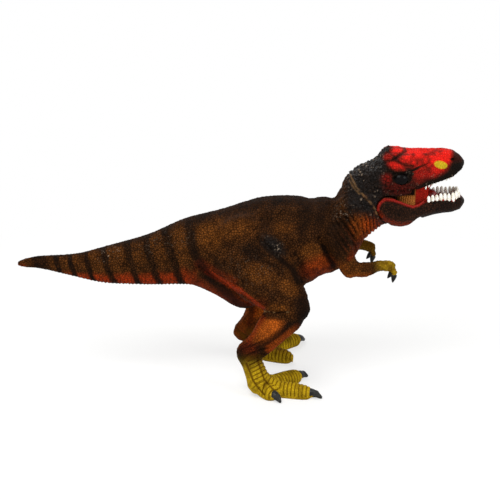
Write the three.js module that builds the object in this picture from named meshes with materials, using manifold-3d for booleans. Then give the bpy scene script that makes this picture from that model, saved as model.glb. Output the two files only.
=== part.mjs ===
// Toy tyrannosaur: hollow moulded torso, plugged-on tail, head, arms and legs, and a hinged lower jaw.
// Millimetres, +Z up, +X forward, +Y to the figure's left. The working origin lies between the hips.

import * as THREE from 'three';
import { mergeVertices } from 'three/addons/utils/BufferGeometryUtils.js';
import Module from 'manifold-3d';

const wasm = await Module();
wasm.setup();

// Fits and mesh fineness
const SEAM_GAP = 0.3;
const JAW_GAP = 0.8;
const GUM_GAP = 0.6;
const SECTION_SIDES = 18;
const RING_STEP = 6;
const LIMB_SIDES = 14;
const CAP_RINGS = 2;
const CAP_FLAT_SHARE = 0.6;
const OUTLINE_SAMPLES = 240;
const PEG_SIDES = 6;
const PIN_SIDES = 12;
const REACH = 400;

// Seams that divide the body
const TAIL_SEAM_X = -42;
const NECK_SEAM_X = 58;
const NECK_SEAM_Z = 32.5;
const NECK_SEAM_PITCH = THREE.MathUtils.degToRad(35);

// Tail stations: share of the tail's length behind its seam, top, bottom, half-width
const TAIL_LENGTH = 111;
const TAIL_STATIONS = [
  [1, -12.6, -16, 1.3],
  [0.955, -10.8, -17, 1.9],
  [0.865, -10.1, -18.4, 3],
  [0.7, -9.4, -22.6, 5.4],
  [0.486, -3.6, -27.4, 8.8],
  [0.27, 3.2, -28, 12],
  [0.054, 13.7, -27.4, 16.5],
];

// Torso and neck stations: forward place, top, bottom, half-width
const BACK_TOP = 27.6;
const HIP_HALF_WIDTH = 25.5;
const CHEST_HALF_WIDTH = 24.5;
const NECK_HALF_WIDTH = 17.2;
const TRUNK_PROFILE = [
  ...TAIL_STATIONS.map(([share, ...section]) => [TAIL_SEAM_X - TAIL_LENGTH * share, ...section]),
  [-30, 18.3, -34.4, 20.5],
  [-14, BACK_TOP - 4.4, -43.4, 23.5],
  [0, BACK_TOP - 0.6, -39.6, HIP_HALF_WIDTH],
  [14, BACK_TOP, -31.4, HIP_HALF_WIDTH],
  [28, BACK_TOP - 1.2, -25.2, CHEST_HALF_WIDTH],
  [43.6, BACK_TOP - 0.8, -18, 21.6],
  [47, 35.2, -16.4, 20.3],
  [51, 42, -14.4, 19.2],
  [56, 46.1, -7.4, 18.2],
  [60, 48.6, 1.4, NECK_HALF_WIDTH],
  [65, 51.8, 6, 16.2],
  [72, 55.2, 11, 14],
];
const TRUNK_POWER = 2.15;
const TRUNK_WIDEST = 0.47;

// Hollow of the torso
const WALL = 4;
const HOLLOW_BACK_X = -27;
const HOLLOW_FRONT_X = 33;

// Pegs and the torso's locating pins
const TAIL_PEG_RADIUS = 6;
const HEAD_PEG_RADIUS = 7;
const HEAD_PEG_DROP = 9;
const LONG_PEG_LENGTH = 12;
const PEG_ROOT_SHARE = 0.5;
const HIP_PEG_RADIUS = 5;
const HIP_PEG_LENGTH = 12;
const HIP_BOSS_RADIUS = 9;
const KNEE_PEG_RADIUS = 4;
const KNEE_PEG_LENGTH = 8;
const ARM_PEG_RADIUS = 2.6;
const ARM_PEG_LENGTH = 8;
const LOCATING_POST_RADIUS = 4.5;
const LOCATING_PIN_RADIUS = 2;
const LOCATING_PIN_LENGTH = 6;
const LOCATING_PLACES = [[-20, 8], [28, 10]];

// Skull and upper jaw stations: share of the skull's length from its back, top, bottom, half-width
const SKULL_BACK_X = 56;
const SKULL_LENGTH = 63.8;
const SNOUT_TIP_X = SKULL_BACK_X + SKULL_LENGTH;
const SKULL_HALF_WIDTH = 17.2;
const SNOUT_HALF_WIDTH = 11;
const SKULL_PROFILE = [
  [0, 44.4, 30, 12],
  [0.157, 52.2, 31.5, 16.2],
  [0.282, 58.2, 32, SKULL_HALF_WIDTH],
  [0.376, 58, 32, SKULL_HALF_WIDTH - 0.3],
  [0.47, 56.8, 32.4, 15.8],
  [0.564, 57.2, 35.6, 13.8],
  [0.658, 57, 38, 12.7],
  [0.784, 57.3, 40.2, SNOUT_HALF_WIDTH],
  [0.878, 56.6, 42, 9.6],
  [0.94, 54.2, 44.2, 7.6],
  [0.987, 51.6, 46.2, 4.2],
  [1, 50, 48.4, 1.2],
].map(([share, ...section]) => [SKULL_BACK_X + SKULL_LENGTH * share, ...section]);
const SKULL_TOP_POWER = 2.5;
const SKULL_LOWER_POWER = 4;
const SKULL_WIDEST = 0.4;

// Throat block between the jaw's two lobes
const THROAT_HALF_WIDTH = 8.6;
const THROAT_FRONT_X = 92;
const THROAT_POWER = 5;
const THROAT_PROFILE = [
  [60, 40, 5, THROAT_HALF_WIDTH],
  [72, 42, 11, THROAT_HALF_WIDTH],
  [80, 42, 15.6, THROAT_HALF_WIDTH],
  [THROAT_FRONT_X, 42, 23, THROAT_HALF_WIDTH - 0.6],
];

// Roof of the mouth
const LIP_THICKNESS = 1.3;
const PALATE_DEPTH = 6;
const PALATE_BACK_X = THROAT_FRONT_X - 1;
const PALATE_FRONT_X = SNOUT_TIP_X - 4;

// Lower jaw stations: share of the jaw's length from the back of its lobes, top, bottom, half-width
const JAW_BACK_X = 66.2;
const JAW_OVERSHOOT = 1.2;
const JAW_LENGTH = SNOUT_TIP_X + JAW_OVERSHOOT - JAW_BACK_X;
const JAW_HALF_WIDTH = 16.6;
const JAW_PROFILE = [
  [0, 25.8, 22.2, 13.6],
  [0.022, 29.2, 17.6, 15.4],
  [0.088, 30.8, 13.6, 16.3],
  [0.179, 30.1, 10.8, JAW_HALF_WIDTH],
  [0.288, 28, 9.8, 16.1],
  [0.409, 25.2, 11, 14.2],
  [0.489, 26.6, 13.4, 12.2],
  [0.571, 28.1, 15.6, 10.8],
  [0.726, 28.6, 17.8, 9.6],
  [0.854, 28.8, 18.4, 8.6],
  [0.945, 29, 20, 6.6],
  [0.989, 27.6, 22, 4],
  [1, 26.4, 24, 1.8],
].map(([share, ...section]) => [JAW_BACK_X + JAW_LENGTH * share, ...section]);
const JAW_TOP_POWER = 4;
const JAW_LOWER_POWER = 2.3;
const JAW_WIDEST = 0.68;
const JAW_SLOT_END_X = THROAT_FRONT_X + 2;
const JAW_RIM = 1.9;
const TROUGH_DEPTH = 5;
const TROUGH_LOWER_POWER = 3;
const TROUGH_BACK_X = JAW_SLOT_END_X - 2;
const TROUGH_FRONT_X = SNOUT_TIP_X - 4.2;
const MOUTH_STATIONS = 5;

// Jaw hinge: it lies in the lobes; angles are measured from the pose of the photograph
const HINGE_INSET = 7.8;
const HINGE_X = JAW_BACK_X + HINGE_INSET;
const HINGE_Z = 24.5;
const JAW_OPEN_MORE = THREE.MathUtils.degToRad(5);
const JAW_CLOSE = THREE.MathUtils.degToRad(16);
const JAW_SWEEP_STEPS = 3;
const HINGE_PIN_RADIUS = 1.6;
const HINGE_PIN_HALF_LENGTH = 13.6;

// Teeth, tongue and eyes
const GUM_RADIUS = 1.1;
const LOWER_GUM_BACK_X = JAW_SLOT_END_X + 2;
const LOWER_GUM_INSET = 1.6;
const LOWER_GUM_SINK = 0.6;
const UPPER_GUM_BACK_X = PALATE_BACK_X + 3;
const LIP_WALL = 0.5;
const UPPER_GUM_INSET = LIP_WALL + GUM_GAP + GUM_RADIUS;
const UPPER_GUM_RISE = 0.6;
const GUM_SIDES = 6;
const GUM_RINGS = 12;
const TOOTH_PITCH = 3;
const TOOTH_BASE_RADIUS = 1.1;
const TOOTH_TIP_RADIUS = 0.45;
const TOOTH_SIDES = 4;
const LOWER_TOOTH_HEIGHT = 3.6;
const UPPER_TOOTH_HEIGHT = 2.1;
const TONGUE_BACK_X = JAW_SLOT_END_X + 1.2;
const TONGUE_FRONT_X = TROUGH_FRONT_X - 3;
const TONGUE_HALF_WIDTH = 4.4;
const TONGUE_WIDTHS = [[0, 0.55], [0.3, 1], [0.7, 0.85], [1, 0.3]];
const TONGUE_THICKNESS = 2.8;
const EYE_X = 81;
const EYE_Z = 42.5;
const EYE_RADIUS = 3.6;
const EYE_STAND_OUT = 0.6;

// Legs: bone lengths, and angles from straight down, forward positive
const HIP_X = 0;
const HIP_Y = 22;
const THIGH_LENGTH = 35.8;
const THIGH_ANGLE = THREE.MathUtils.degToRad(31);
const THIGH_SPLAY = 8;
const SHANK_LENGTH = 44.6;
const SHANK_ANGLE = THREE.MathUtils.degToRad(-42.3);
const SHANK_SPLAY = -5;
const METATARSUS_LENGTH = 20.2;
const METATARSUS_ANGLE = THREE.MathUtils.degToRad(25);
const METATARSUS_SPLAY = 5;
const BALL_HEIGHT = 7.5;
const SOLE_FLAT = 1.2;
const KNEE_SEAM_DROP = 6;
const RIGHT_LEG_YAW = 0;
const LEFT_LEG_YAW = THREE.MathUtils.degToRad(20);

// Flesh on the leg bones: distance along the bone, forward shift, half-depth, half-width
const THIGH_FLESH = [
  [-21, -8, 14, 7],
  [-6, -10, 23, 12],
  [THIGH_LENGTH - 20, -7, 20, 13],
  [THIGH_LENGTH - 6, -4, 13.6, 12],
  [THIGH_LENGTH, -2.4, 9.8, 10.5],
];
const SHANK_FLESH = [
  [0, -1, 9.4, 10],
  [10, 0.9, 11.3, 10.6],
  [20, 0.8, 10.5, 9.8],
  [SHANK_LENGTH - 11, 2.5, 8.2, 8.2],
  [SHANK_LENGTH, 1.8, 7.2, 7.2],
];
const METATARSUS_FLESH = [
  [0, 0.6, 6.6, 7],
  [8, 0.6, 6, 6.6],
  [METATARSUS_LENGTH - 4, 0, 6.4, 7.2],
  [METATARSUS_LENGTH, 0, 7.6, 9],
];

// Toes: heading in degrees from straight ahead, outward positive; reach from the ball; claw length
const RIGHT_TOES = [
  { heading: 12, reach: 32, claw: 6 },
  { heading: -41, reach: 33, claw: 6.5 },
  { heading: 50, reach: 14, claw: 5 },
];
const LEFT_TOES = [
  { heading: 42, reach: 38.5, claw: 5.5 },
  { heading: -20, reach: 25, claw: 3 },
  { heading: 84, reach: 16, claw: 5 },
];
const TOE_SIDES = 10;
const TOE_JOINT_SHARES = [1 / 3, 2 / 3];
const CLAW_SIDES = 6;
const TOE_BASE_RADIUS = 5.4;
const TOE_RADIUS = 4.9;
const TOE_END_RADIUS = 4.5;
const CLAW_RADIUS = 2.6;
const CLAW_TIP_RADIUS = 0.5;
const CLAW_HOOK = 2.4;
const CLAW_TAPER = 0.75;

// Arms: bone lengths, and pitch of each bone from straight ahead, upward positive
const SHOULDER_X = 42.5;
const SHOULDER_Y = 20;
const SHOULDER_Z = 8;
const UPPER_ARM_LENGTH = 21;
const UPPER_ARM_SPLAY = 4;
const FOREARM_LENGTH = 18;
const PALM_LENGTH = 6.5;
const FINGER_LENGTH = 4.2;
const FINGER_CLAW_LENGTH = 6.5;
const FINGER_SPREAD = 2.4;
const FINGER_FAN = 12;
const SHOULDER_RADIUS = 8.2;
const ELBOW_RADIUS = 5.2;
const FOREARM_RADIUS = 4.2;
const WRIST_RADIUS = 3.2;
const PALM_RADIUS = 3.4;
const FINGER_RADIUS = 1.9;
const FINGER_TIP_RADIUS = 0.5;
const RIGHT_ARM_PITCH = { upper: -67, fore: 7, palm: -3, finger: -100 };
const LEFT_ARM_PITCH = { upper: -89, fore: 11, palm: -18, finger: -104 };

// Finishes
const SKIN = { color: 0x46301c, roughness: 0.62, metalness: 0 };
const HEAD_RED = { color: 0x9c1f16, roughness: 0.55, metalness: 0 };
const JAW_BROWN = { color: 0x3c2418, roughness: 0.5, metalness: 0 };
const MOUTH_RED = { color: 0xa8281c, roughness: 0.45, metalness: 0 };
const TOOTH_WHITE = { color: 0xe8e4d6, roughness: 0.35, metalness: 0 };
const EYE_BLACK = { color: 0x0c0a09, roughness: 0.12, metalness: 0 };
const STEEL = { color: 0xb4b6b8, roughness: 0.3, metalness: 1 };

// Geometry helpers

function toSolid(geometry) {
  geometry.deleteAttribute('normal');
  geometry.deleteAttribute('uv');
  const merged = mergeVertices(geometry);
  return new wasm.Manifold(new wasm.Mesh({
    numProp: 3,
    vertProperties: new Float32Array(merged.attributes.position.array),
    triVerts: new Uint32Array(merged.index.array),
  }));
}

// Closed skin over a row of rings with equal point counts
function skinOver(rings) {
  const sides = rings[0].length;
  const points = rings.flat();
  const faces = [];
  for (let row = 0; row + 1 < rings.length; row += 1) {
    for (let side = 0; side < sides; side += 1) {
      const next = (side + 1) % sides;
      const a = row * sides + side;
      const b = row * sides + next;
      faces.push(a, b, a + sides, b, b + sides, a + sides);
    }
  }
  const middleOf = (ring) => ring.reduce((sum, p) => sum.add(p), new THREE.Vector3()).divideScalar(sides);
  const first = points.push(middleOf(rings[0])) - 1;
  const last = points.push(middleOf(rings.at(-1))) - 1;
  const lastRow = (rings.length - 1) * sides;
  for (let side = 0; side < sides; side += 1) {
    const next = (side + 1) % sides;
    faces.push(first, next, side);
    faces.push(last, lastRow + side, lastRow + next);
  }
  const geometry = new THREE.BufferGeometry().setFromPoints(points);
  geometry.setIndex(faces);
  return toSolid(geometry);
}

// Values of a profile at one forward place, by a cubic that never overshoots its stations
function profileAt(profile, x) {
  const last = profile.length - 1;
  const place = THREE.MathUtils.clamp(x, profile[0][0], profile[last][0]);
  let i = 0;
  while (i < last - 1 && profile[i + 1][0] < place) i += 1;
  const step = (k, column) => profile[k + 1][column] - profile[k][column];
  const rise = (k, column) => step(k, column) / step(k, 0);
  const slope = (k, column) => {
    if (k === 0) return rise(0, column);
    if (k === last) return rise(last - 1, column);
    const before = rise(k - 1, column);
    const after = rise(k, column);
    return before * after > 0 ? (2 * before * after) / (before + after) : 0;
  };
  const width = step(i, 0);
  const t = (place - profile[i][0]) / width;
  const value = (column) => (1 + 2 * t) * (1 - t) ** 2 * profile[i][column]
    + t * (1 - t) ** 2 * width * slope(i, column)
    + t ** 2 * (3 - 2 * t) * profile[i + 1][column]
    - t ** 2 * (1 - t) * width * slope(i + 1, column);
  return { top: value(1), bottom: value(2), half: value(3) };
}

// Forward places of rings, spread evenly over the length of the profile's outline
function ringPlaces(profile, from, to, step) {
  const lengths = [0];
  const xs = [from];
  for (let k = 1; k <= OUTLINE_SAMPLES; k += 1) {
    xs.push(from + ((to - from) * k) / OUTLINE_SAMPLES);
    const a = profileAt(profile, xs[k - 1]);
    const b = profileAt(profile, xs[k]);
    lengths.push(lengths[k - 1] + Math.hypot(xs[k] - xs[k - 1], b.top - a.top, b.bottom - a.bottom));
  }
  const total = lengths[OUTLINE_SAMPLES];
  const count = Math.max(2, Math.ceil(total / step));
  const inner = Array.from({ length: count - 1 }, (_, n) => {
    const wanted = (total * (n + 1)) / count;
    return xs[lengths.findIndex((length) => length >= wanted)];
  });
  return [from, ...inner, to];
}

// Body of superelliptic cross-sections that follow a profile
function profileBody(profile, shape) {
  const { topPower, lowerPower = topPower, widest = 0.5, grow = 0, step = RING_STEP } = shape;
  const from = shape.from ?? profile[0][0];
  const to = shape.to ?? profile.at(-1)[0];
  const endShift = (place) => {
    if (place === from && shape.from === undefined) return -grow;
    return place === to && shape.to === undefined ? grow : 0;
  };
  const rings = ringPlaces(profile, from, to, step).map((place) => {
    const { top, bottom, half } = profileAt(profile, place);
    const x = place + endShift(place);
    const middle = bottom + (top - bottom) * widest;
    return Array.from({ length: SECTION_SIDES }, (_, side) => {
      const angle = (2 * Math.PI * side) / SECTION_SIDES;
      const across = Math.cos(angle);
      const upward = Math.sin(angle);
      const power = 2 / (upward > 0 ? topPower : lowerPower);
      const height = (upward > 0 ? top - middle : middle - bottom) + grow;
      return new THREE.Vector3(
        x,
        Math.sign(across) * Math.abs(across) ** power * (half + grow),
        middle + Math.sign(upward) * Math.abs(upward) ** power * height,
      );
    });
  });
  return skinOver(rings);
}

// Rounded limb along stations of centre, half-depth and half-width; across is its sideways axis
function limbBody(stations, across, sides = LIMB_SIDES) {
  const last = stations.length - 1;
  const ringAt = (centre, along, depth, width) => {
    const sideways = across.clone().addScaledVector(along, -across.dot(along)).normalize();
    const forward = new THREE.Vector3().crossVectors(sideways, along);
    return Array.from({ length: sides }, (_, side) => {
      const angle = (2 * Math.PI * side) / sides;
      return centre.clone()
        .addScaledVector(forward, depth * Math.cos(angle))
        .addScaledVector(sideways, width * Math.sin(angle));
    });
  };
  const direction = (k) => new THREE.Vector3()
    .subVectors(stations[Math.min(k + 1, last)].at, stations[Math.max(k - 1, 0)].at)
    .normalize();
  const cap = (k, sign) => Array.from({ length: CAP_RINGS }, (_, ring) => {
    const angle = ((ring + 1) / (CAP_RINGS + CAP_FLAT_SHARE)) * (Math.PI / 2);
    const { at, depth, width } = stations[k];
    const bulge = Math.min(depth, width) * Math.sin(angle);
    const centre = at.clone().addScaledVector(direction(k), sign * bulge);
    return ringAt(centre, direction(k), depth * Math.cos(angle), width * Math.cos(angle));
  });
  const rings = [
    ...cap(0, -1).reverse(),
    ...stations.map((station, k) => ringAt(station.at, direction(k), station.depth, station.width)),
    ...cap(last, 1),
  ];
  return skinOver(rings);
}

function evenPlaces(from, to, count) {
  return Array.from({ length: count }, (_, k) => THREE.MathUtils.lerp(from, to, k / (count - 1)));
}

function joinAll(solids) {
  return solids.reduce((sum, one) => sum.add(one));
}

const point = (x, y, z) => new THREE.Vector3(x, y, z);
const FORWARD = point(1, 0, 0);
const LEFTWARD = point(0, 1, 0);
const UPWARD = point(0, 0, 1);
const opposite = (direction) => direction.clone().negate();

// Stand a geometry made along Y on a point, so that it reaches along a direction
function standOn(geometry, origin, direction, length) {
  const turn = new THREE.Quaternion().setFromUnitVectors(LEFTWARD, direction.clone().normalize());
  geometry.translate(0, length / 2, 0);
  geometry.applyQuaternion(turn);
  geometry.translate(origin.x, origin.y, origin.z);
  return toSolid(geometry);
}

// Straight prism from a point along a direction
function prism(from, direction, length, radius, sides = PEG_SIDES) {
  return standOn(new THREE.CylinderGeometry(radius, radius, length, sides), from, direction, length);
}

// Everything on the far side of a plane through a point
function beyond(origin, direction) {
  return standOn(new THREE.BoxGeometry(REACH, REACH, REACH), origin, direction, REACH);
}

function block(low, high) {
  const geometry = new THREE.BoxGeometry(high.x - low.x, high.y - low.y, high.z - low.z);
  geometry.translate((low.x + high.x) / 2, (low.y + high.y) / 2, (low.z + high.z) / 2);
  return toSolid(geometry);
}

const group = new THREE.Group();

function addPiece(name, solid, finish) {
  const { vertProperties, triVerts } = solid.getMesh();
  const geometry = new THREE.BufferGeometry();
  geometry.setAttribute('position', new THREE.BufferAttribute(vertProperties, 3));
  geometry.setIndex(new THREE.BufferAttribute(triVerts, 1));
  geometry.computeVertexNormals();
  const mesh = new THREE.Mesh(geometry, new THREE.MeshStandardMaterial(finish));
  mesh.name = name;
  group.add(mesh);
}

// Axial body: trunk and skull as one form, then divided at the seams

const trunkShape = { topPower: TRUNK_POWER, widest: TRUNK_WIDEST };
const trunkBody = (grow) => profileBody(TRUNK_PROFILE, { ...trunkShape, grow });
const skullBody = (grow) => profileBody(SKULL_PROFILE, {
  topPower: SKULL_TOP_POWER,
  lowerPower: SKULL_LOWER_POWER,
  widest: SKULL_WIDEST,
  grow,
});
const axialBody = trunkBody(0).add(skullBody(0));
const clearOfTrunk = trunkBody(SEAM_GAP);

const neckSeamPoint = point(NECK_SEAM_X, 0, NECK_SEAM_Z);
const neckSeamDirection = point(Math.cos(NECK_SEAM_PITCH), 0, Math.sin(NECK_SEAM_PITCH));
const tailSeamPoint = point(TAIL_SEAM_X, 0, (profileAt(TRUNK_PROFILE, TAIL_SEAM_X).top
  + profileAt(TRUNK_PROFILE, TAIL_SEAM_X).bottom) / 2);
const halfGap = SEAM_GAP / 2;
const aheadOf = (origin, direction) => beyond(origin.clone().addScaledVector(direction, halfGap), direction);
const behind = (origin, direction) => aheadOf(origin, opposite(direction));

// Peg that stands out of a seam, with its root buried in its own piece
function plug(origin, direction, length, radius, grow) {
  const start = origin.clone().addScaledVector(direction, -length * PEG_ROOT_SHARE);
  return prism(start, direction, length * (1 + PEG_ROOT_SHARE) + grow, radius + grow);
}

const tailPlug = (grow) => plug(tailSeamPoint, FORWARD, LONG_PEG_LENGTH, TAIL_PEG_RADIUS, grow);
const headPegPoint = neckSeamPoint.clone()
  .add(point(Math.sin(NECK_SEAM_PITCH), 0, -Math.cos(NECK_SEAM_PITCH)).multiplyScalar(HEAD_PEG_DROP));
const intoNeck = opposite(neckSeamDirection);
const headPlug = (grow) => plug(headPegPoint, intoNeck, LONG_PEG_LENGTH, HEAD_PEG_RADIUS, grow);

// Legs

const bone = (length, angle, splay) => point(Math.sin(angle) * length, splay, -Math.cos(angle) * length);
const HIP_HEIGHT = THIGH_LENGTH * Math.cos(THIGH_ANGLE) + SHANK_LENGTH * Math.cos(SHANK_ANGLE)
  + METATARSUS_LENGTH * Math.cos(METATARSUS_ANGLE) + BALL_HEIGHT;

function makeLeg(side, yaw, toeSet) {
  const place = (p) => point(p.x, p.y * side, p.z)
    .applyAxisAngle(UPWARD, yaw)
    .add(point(HIP_X, side * HIP_Y, 0));
  const across = LEFTWARD.clone().applyAxisAngle(UPWARD, yaw);
  const hip = point(0, 0, 0);
  const knee = hip.clone().add(bone(THIGH_LENGTH, THIGH_ANGLE, THIGH_SPLAY));
  const hock = knee.clone().add(bone(SHANK_LENGTH, SHANK_ANGLE, SHANK_SPLAY));
  const ball = hock.clone().add(bone(METATARSUS_LENGTH, METATARSUS_ANGLE, METATARSUS_SPLAY));

  const fleshOn = (start, end, angle, flesh) => {
    const along = new THREE.Vector3().subVectors(end, start).normalize();
    const ahead = point(Math.cos(angle), 0, Math.sin(angle));
    return limbBody(flesh.map(([distance, shift, depth, width]) => ({
      at: place(start.clone().addScaledVector(along, distance).addScaledVector(ahead, shift)),
      depth,
      width,
    })), across);
  };
  const thigh = fleshOn(hip, knee, THIGH_ANGLE, THIGH_FLESH);
  const shank = fleshOn(knee, hock, SHANK_ANGLE, SHANK_FLESH);
  const metatarsus = fleshOn(hock, ball, METATARSUS_ANGLE, METATARSUS_FLESH);
  const toes = toeSet.map((toe) => makeToe(place(ball), side, toe));
  const aboveGround = beyond(point(0, 0, -HIP_HEIGHT), UPWARD);
  const whole = joinAll([thigh, shank, metatarsus, ...toes]).intersect(aboveGround);

  const seam = place(knee.clone().add(point(0, 0, -KNEE_SEAM_DROP)));
  const hipPeg = (grow) => prism(
    point(HIP_X, side * (HIP_Y + HIP_PEG_LENGTH * PEG_ROOT_SHARE), 0),
    point(0, -side, 0),
    HIP_PEG_LENGTH * (1 + PEG_ROOT_SHARE) + grow,
    HIP_PEG_RADIUS + grow,
  );
  const kneePeg = (grow) => plug(seam, UPWARD, KNEE_PEG_LENGTH, KNEE_PEG_RADIUS, grow);
  const upper = whole.intersect(aheadOf(seam, UPWARD)).subtract(clearOfTrunk);
  const lower = whole.intersect(behind(seam, UPWARD)).subtract(clearOfTrunk);
  return {
    hipPeg,
    thigh: upper.add(hipPeg(0)).subtract(kneePeg(SEAM_GAP)),
    lowerLeg: lower.add(kneePeg(0)),
  };
}

function makeToe(ball, side, { heading, reach, claw }) {
  const ahead = FORWARD.clone().applyAxisAngle(UPWARD, side * THREE.MathUtils.degToRad(heading));
  const across = LEFTWARD.clone().applyAxisAngle(UPWARD, side * THREE.MathUtils.degToRad(heading));
  const station = (distance, height, radius) => ({
    at: ball.clone().addScaledVector(ahead, distance).setZ(height - SOLE_FLAT - HIP_HEIGHT),
    depth: radius,
    width: radius,
  });
  const [firstJoint, secondJoint] = TOE_JOINT_SHARES.map((share) => reach * share);
  const flesh = limbBody([
    station(0, BALL_HEIGHT + SOLE_FLAT, TOE_BASE_RADIUS),
    station(firstJoint, TOE_BASE_RADIUS, TOE_RADIUS),
    station(secondJoint, TOE_RADIUS, TOE_RADIUS),
    station(reach - TOE_END_RADIUS, TOE_END_RADIUS, TOE_END_RADIUS),
  ], across, TOE_SIDES);
  const nail = limbBody([
    station(reach - CLAW_RADIUS, TOE_END_RADIUS, CLAW_RADIUS),
    station(reach + claw / 2, TOE_END_RADIUS, CLAW_RADIUS * CLAW_TAPER),
    station(reach + claw, TOE_END_RADIUS - CLAW_HOOK, CLAW_TIP_RADIUS),
  ], across, CLAW_SIDES);
  return flesh.add(nail);
}

const rightLeg = makeLeg(-1, RIGHT_LEG_YAW, RIGHT_TOES);
const leftLeg = makeLeg(1, LEFT_LEG_YAW, LEFT_TOES);

// Arms

function makeArm(side, pitch) {
  const step = (from, length, degrees, splay) => {
    const angle = THREE.MathUtils.degToRad(degrees);
    return from.clone().add(point(Math.cos(angle) * length, splay * side, Math.sin(angle) * length));
  };
  const station = (at, radius) => ({ at, depth: radius, width: radius });
  const shoulder = point(SHOULDER_X, side * SHOULDER_Y, SHOULDER_Z);
  const elbow = step(shoulder, UPPER_ARM_LENGTH, pitch.upper, UPPER_ARM_SPLAY);
  const wrist = step(elbow, FOREARM_LENGTH, pitch.fore, -UPPER_ARM_SPLAY / 2);
  const palm = step(wrist, PALM_LENGTH, pitch.palm, 0);
  const middleOf = (a, b) => a.clone().lerp(b, 0.5);
  const upperArm = limbBody([
    station(shoulder, SHOULDER_RADIUS),
    station(middleOf(shoulder, elbow), (SHOULDER_RADIUS + ELBOW_RADIUS) / 2),
    station(elbow, ELBOW_RADIUS),
  ], LEFTWARD);
  const forearm = limbBody([
    station(elbow, FOREARM_RADIUS),
    station(middleOf(elbow, wrist), FOREARM_RADIUS),
    station(wrist, WRIST_RADIUS),
  ], LEFTWARD);
  const hand = limbBody([station(wrist, WRIST_RADIUS), station(palm, PALM_RADIUS)], LEFTWARD);
  const fingers = [-1, 1].map((lane) => {
    const root = palm.clone().add(point(0, lane * FINGER_SPREAD / 2, 0));
    const bend = (pitch.palm + pitch.finger) / 2;
    const joint = step(root, FINGER_LENGTH, bend, lane * side * FINGER_SPREAD / 2);
    const tip = step(joint, FINGER_CLAW_LENGTH, pitch.finger - FINGER_FAN * (1 + lane), 0);
    return limbBody([
      station(root, FINGER_RADIUS),
      station(joint, FINGER_RADIUS),
      station(tip, FINGER_TIP_RADIUS),
    ], LEFTWARD, CLAW_SIDES);
  });
  const peg = (grow) => prism(
    shoulder.clone().add(point(0, side * SHOULDER_RADIUS / 2, 0)),
    point(0, -side, 0),
    SHOULDER_RADIUS / 2 + ARM_PEG_LENGTH + grow,
    ARM_PEG_RADIUS + grow,
  );
  return { peg, arm: joinAll([upperArm, forearm, hand, ...fingers]).subtract(clearOfTrunk).add(peg(0)) };
}

const rightArm = makeArm(-1, RIGHT_ARM_PITCH);
const leftArm = makeArm(1, LEFT_ARM_PITCH);

// Jaw blank, and the space it sweeps from wide open to closed

const hinge = point(HINGE_X, 0, HINGE_Z);
const jawSlot = block(
  point(HINGE_X - REACH, -THROAT_HALF_WIDTH - JAW_GAP, -REACH),
  point(JAW_SLOT_END_X, THROAT_HALF_WIDTH + JAW_GAP, REACH),
);
const jawBlank = (grow) => profileBody(JAW_PROFILE, {
  topPower: JAW_TOP_POWER,
  lowerPower: JAW_LOWER_POWER,
  widest: JAW_WIDEST,
  grow,
}).subtract(jawSlot);
const turnJaw = (solid, angle) => solid
  .translate([-hinge.x, 0, -hinge.z])
  .rotate([0, THREE.MathUtils.radToDeg(angle), 0])
  .translate([hinge.x, 0, hinge.z]);
const grownJaw = jawBlank(JAW_GAP);
const jawSweep = joinAll(Array.from({ length: JAW_SWEEP_STEPS }, (_, step) => turnJaw(
  grownJaw,
  -JAW_CLOSE + ((JAW_OPEN_MORE + JAW_CLOSE) * step) / (JAW_SWEEP_STEPS - 1),
)));
const hingePin = (grow) => prism(
  point(HINGE_X, -HINGE_PIN_HALF_LENGTH - grow, HINGE_Z),
  LEFTWARD,
  2 * (HINGE_PIN_HALF_LENGTH + grow),
  HINGE_PIN_RADIUS + grow,
  PIN_SIDES,
);

// Torso shells

const hollow = profileBody(TRUNK_PROFILE, {
  ...trunkShape,
  grow: -WALL,
  from: HOLLOW_BACK_X,
  to: HOLLOW_FRONT_X,
});
const acrossTorso = (x, z, radius) => prism(point(x, -REACH / 2, z), LEFTWARD, REACH, radius, PIN_SIDES);
const hipBossEnd = HIP_Y - HIP_PEG_LENGTH - WALL;
const hipBosses = acrossTorso(HIP_X, 0, HIP_BOSS_RADIUS)
  .subtract(block(point(-REACH, -hipBossEnd, -REACH), point(REACH, hipBossEnd, REACH)));
const locatingPosts = joinAll(LOCATING_PLACES.map(([x, z]) => acrossTorso(x, z, LOCATING_POST_RADIUS)));
const hollowWithPosts = hollow.subtract(hipBosses).subtract(locatingPosts);
const torso = axialBody
  .intersect(aheadOf(tailSeamPoint, FORWARD))
  .intersect(behind(neckSeamPoint, neckSeamDirection))
  .subtract(hollowWithPosts)
  .subtract(jawSweep)
  .subtract(joinAll([
    tailPlug(SEAM_GAP),
    headPlug(SEAM_GAP),
    rightLeg.hipPeg(SEAM_GAP),
    leftLeg.hipPeg(SEAM_GAP),
    rightArm.peg(SEAM_GAP),
    leftArm.peg(SEAM_GAP),
  ]));
const midPlane = point(0, 0, 0);
const locatingPins = (grow) => joinAll(LOCATING_PLACES.map(([x, z]) => prism(
  point(x, -LOCATING_PIN_LENGTH, z),
  LEFTWARD,
  LOCATING_PIN_LENGTH * 2 + grow,
  LOCATING_PIN_RADIUS + grow,
  PIN_SIDES,
)));

const rightShell = torso.intersect(behind(midPlane, LEFTWARD)).add(locatingPins(0));
const leftShell = torso.intersect(aheadOf(midPlane, LEFTWARD)).subtract(locatingPins(SEAM_GAP));

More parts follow.
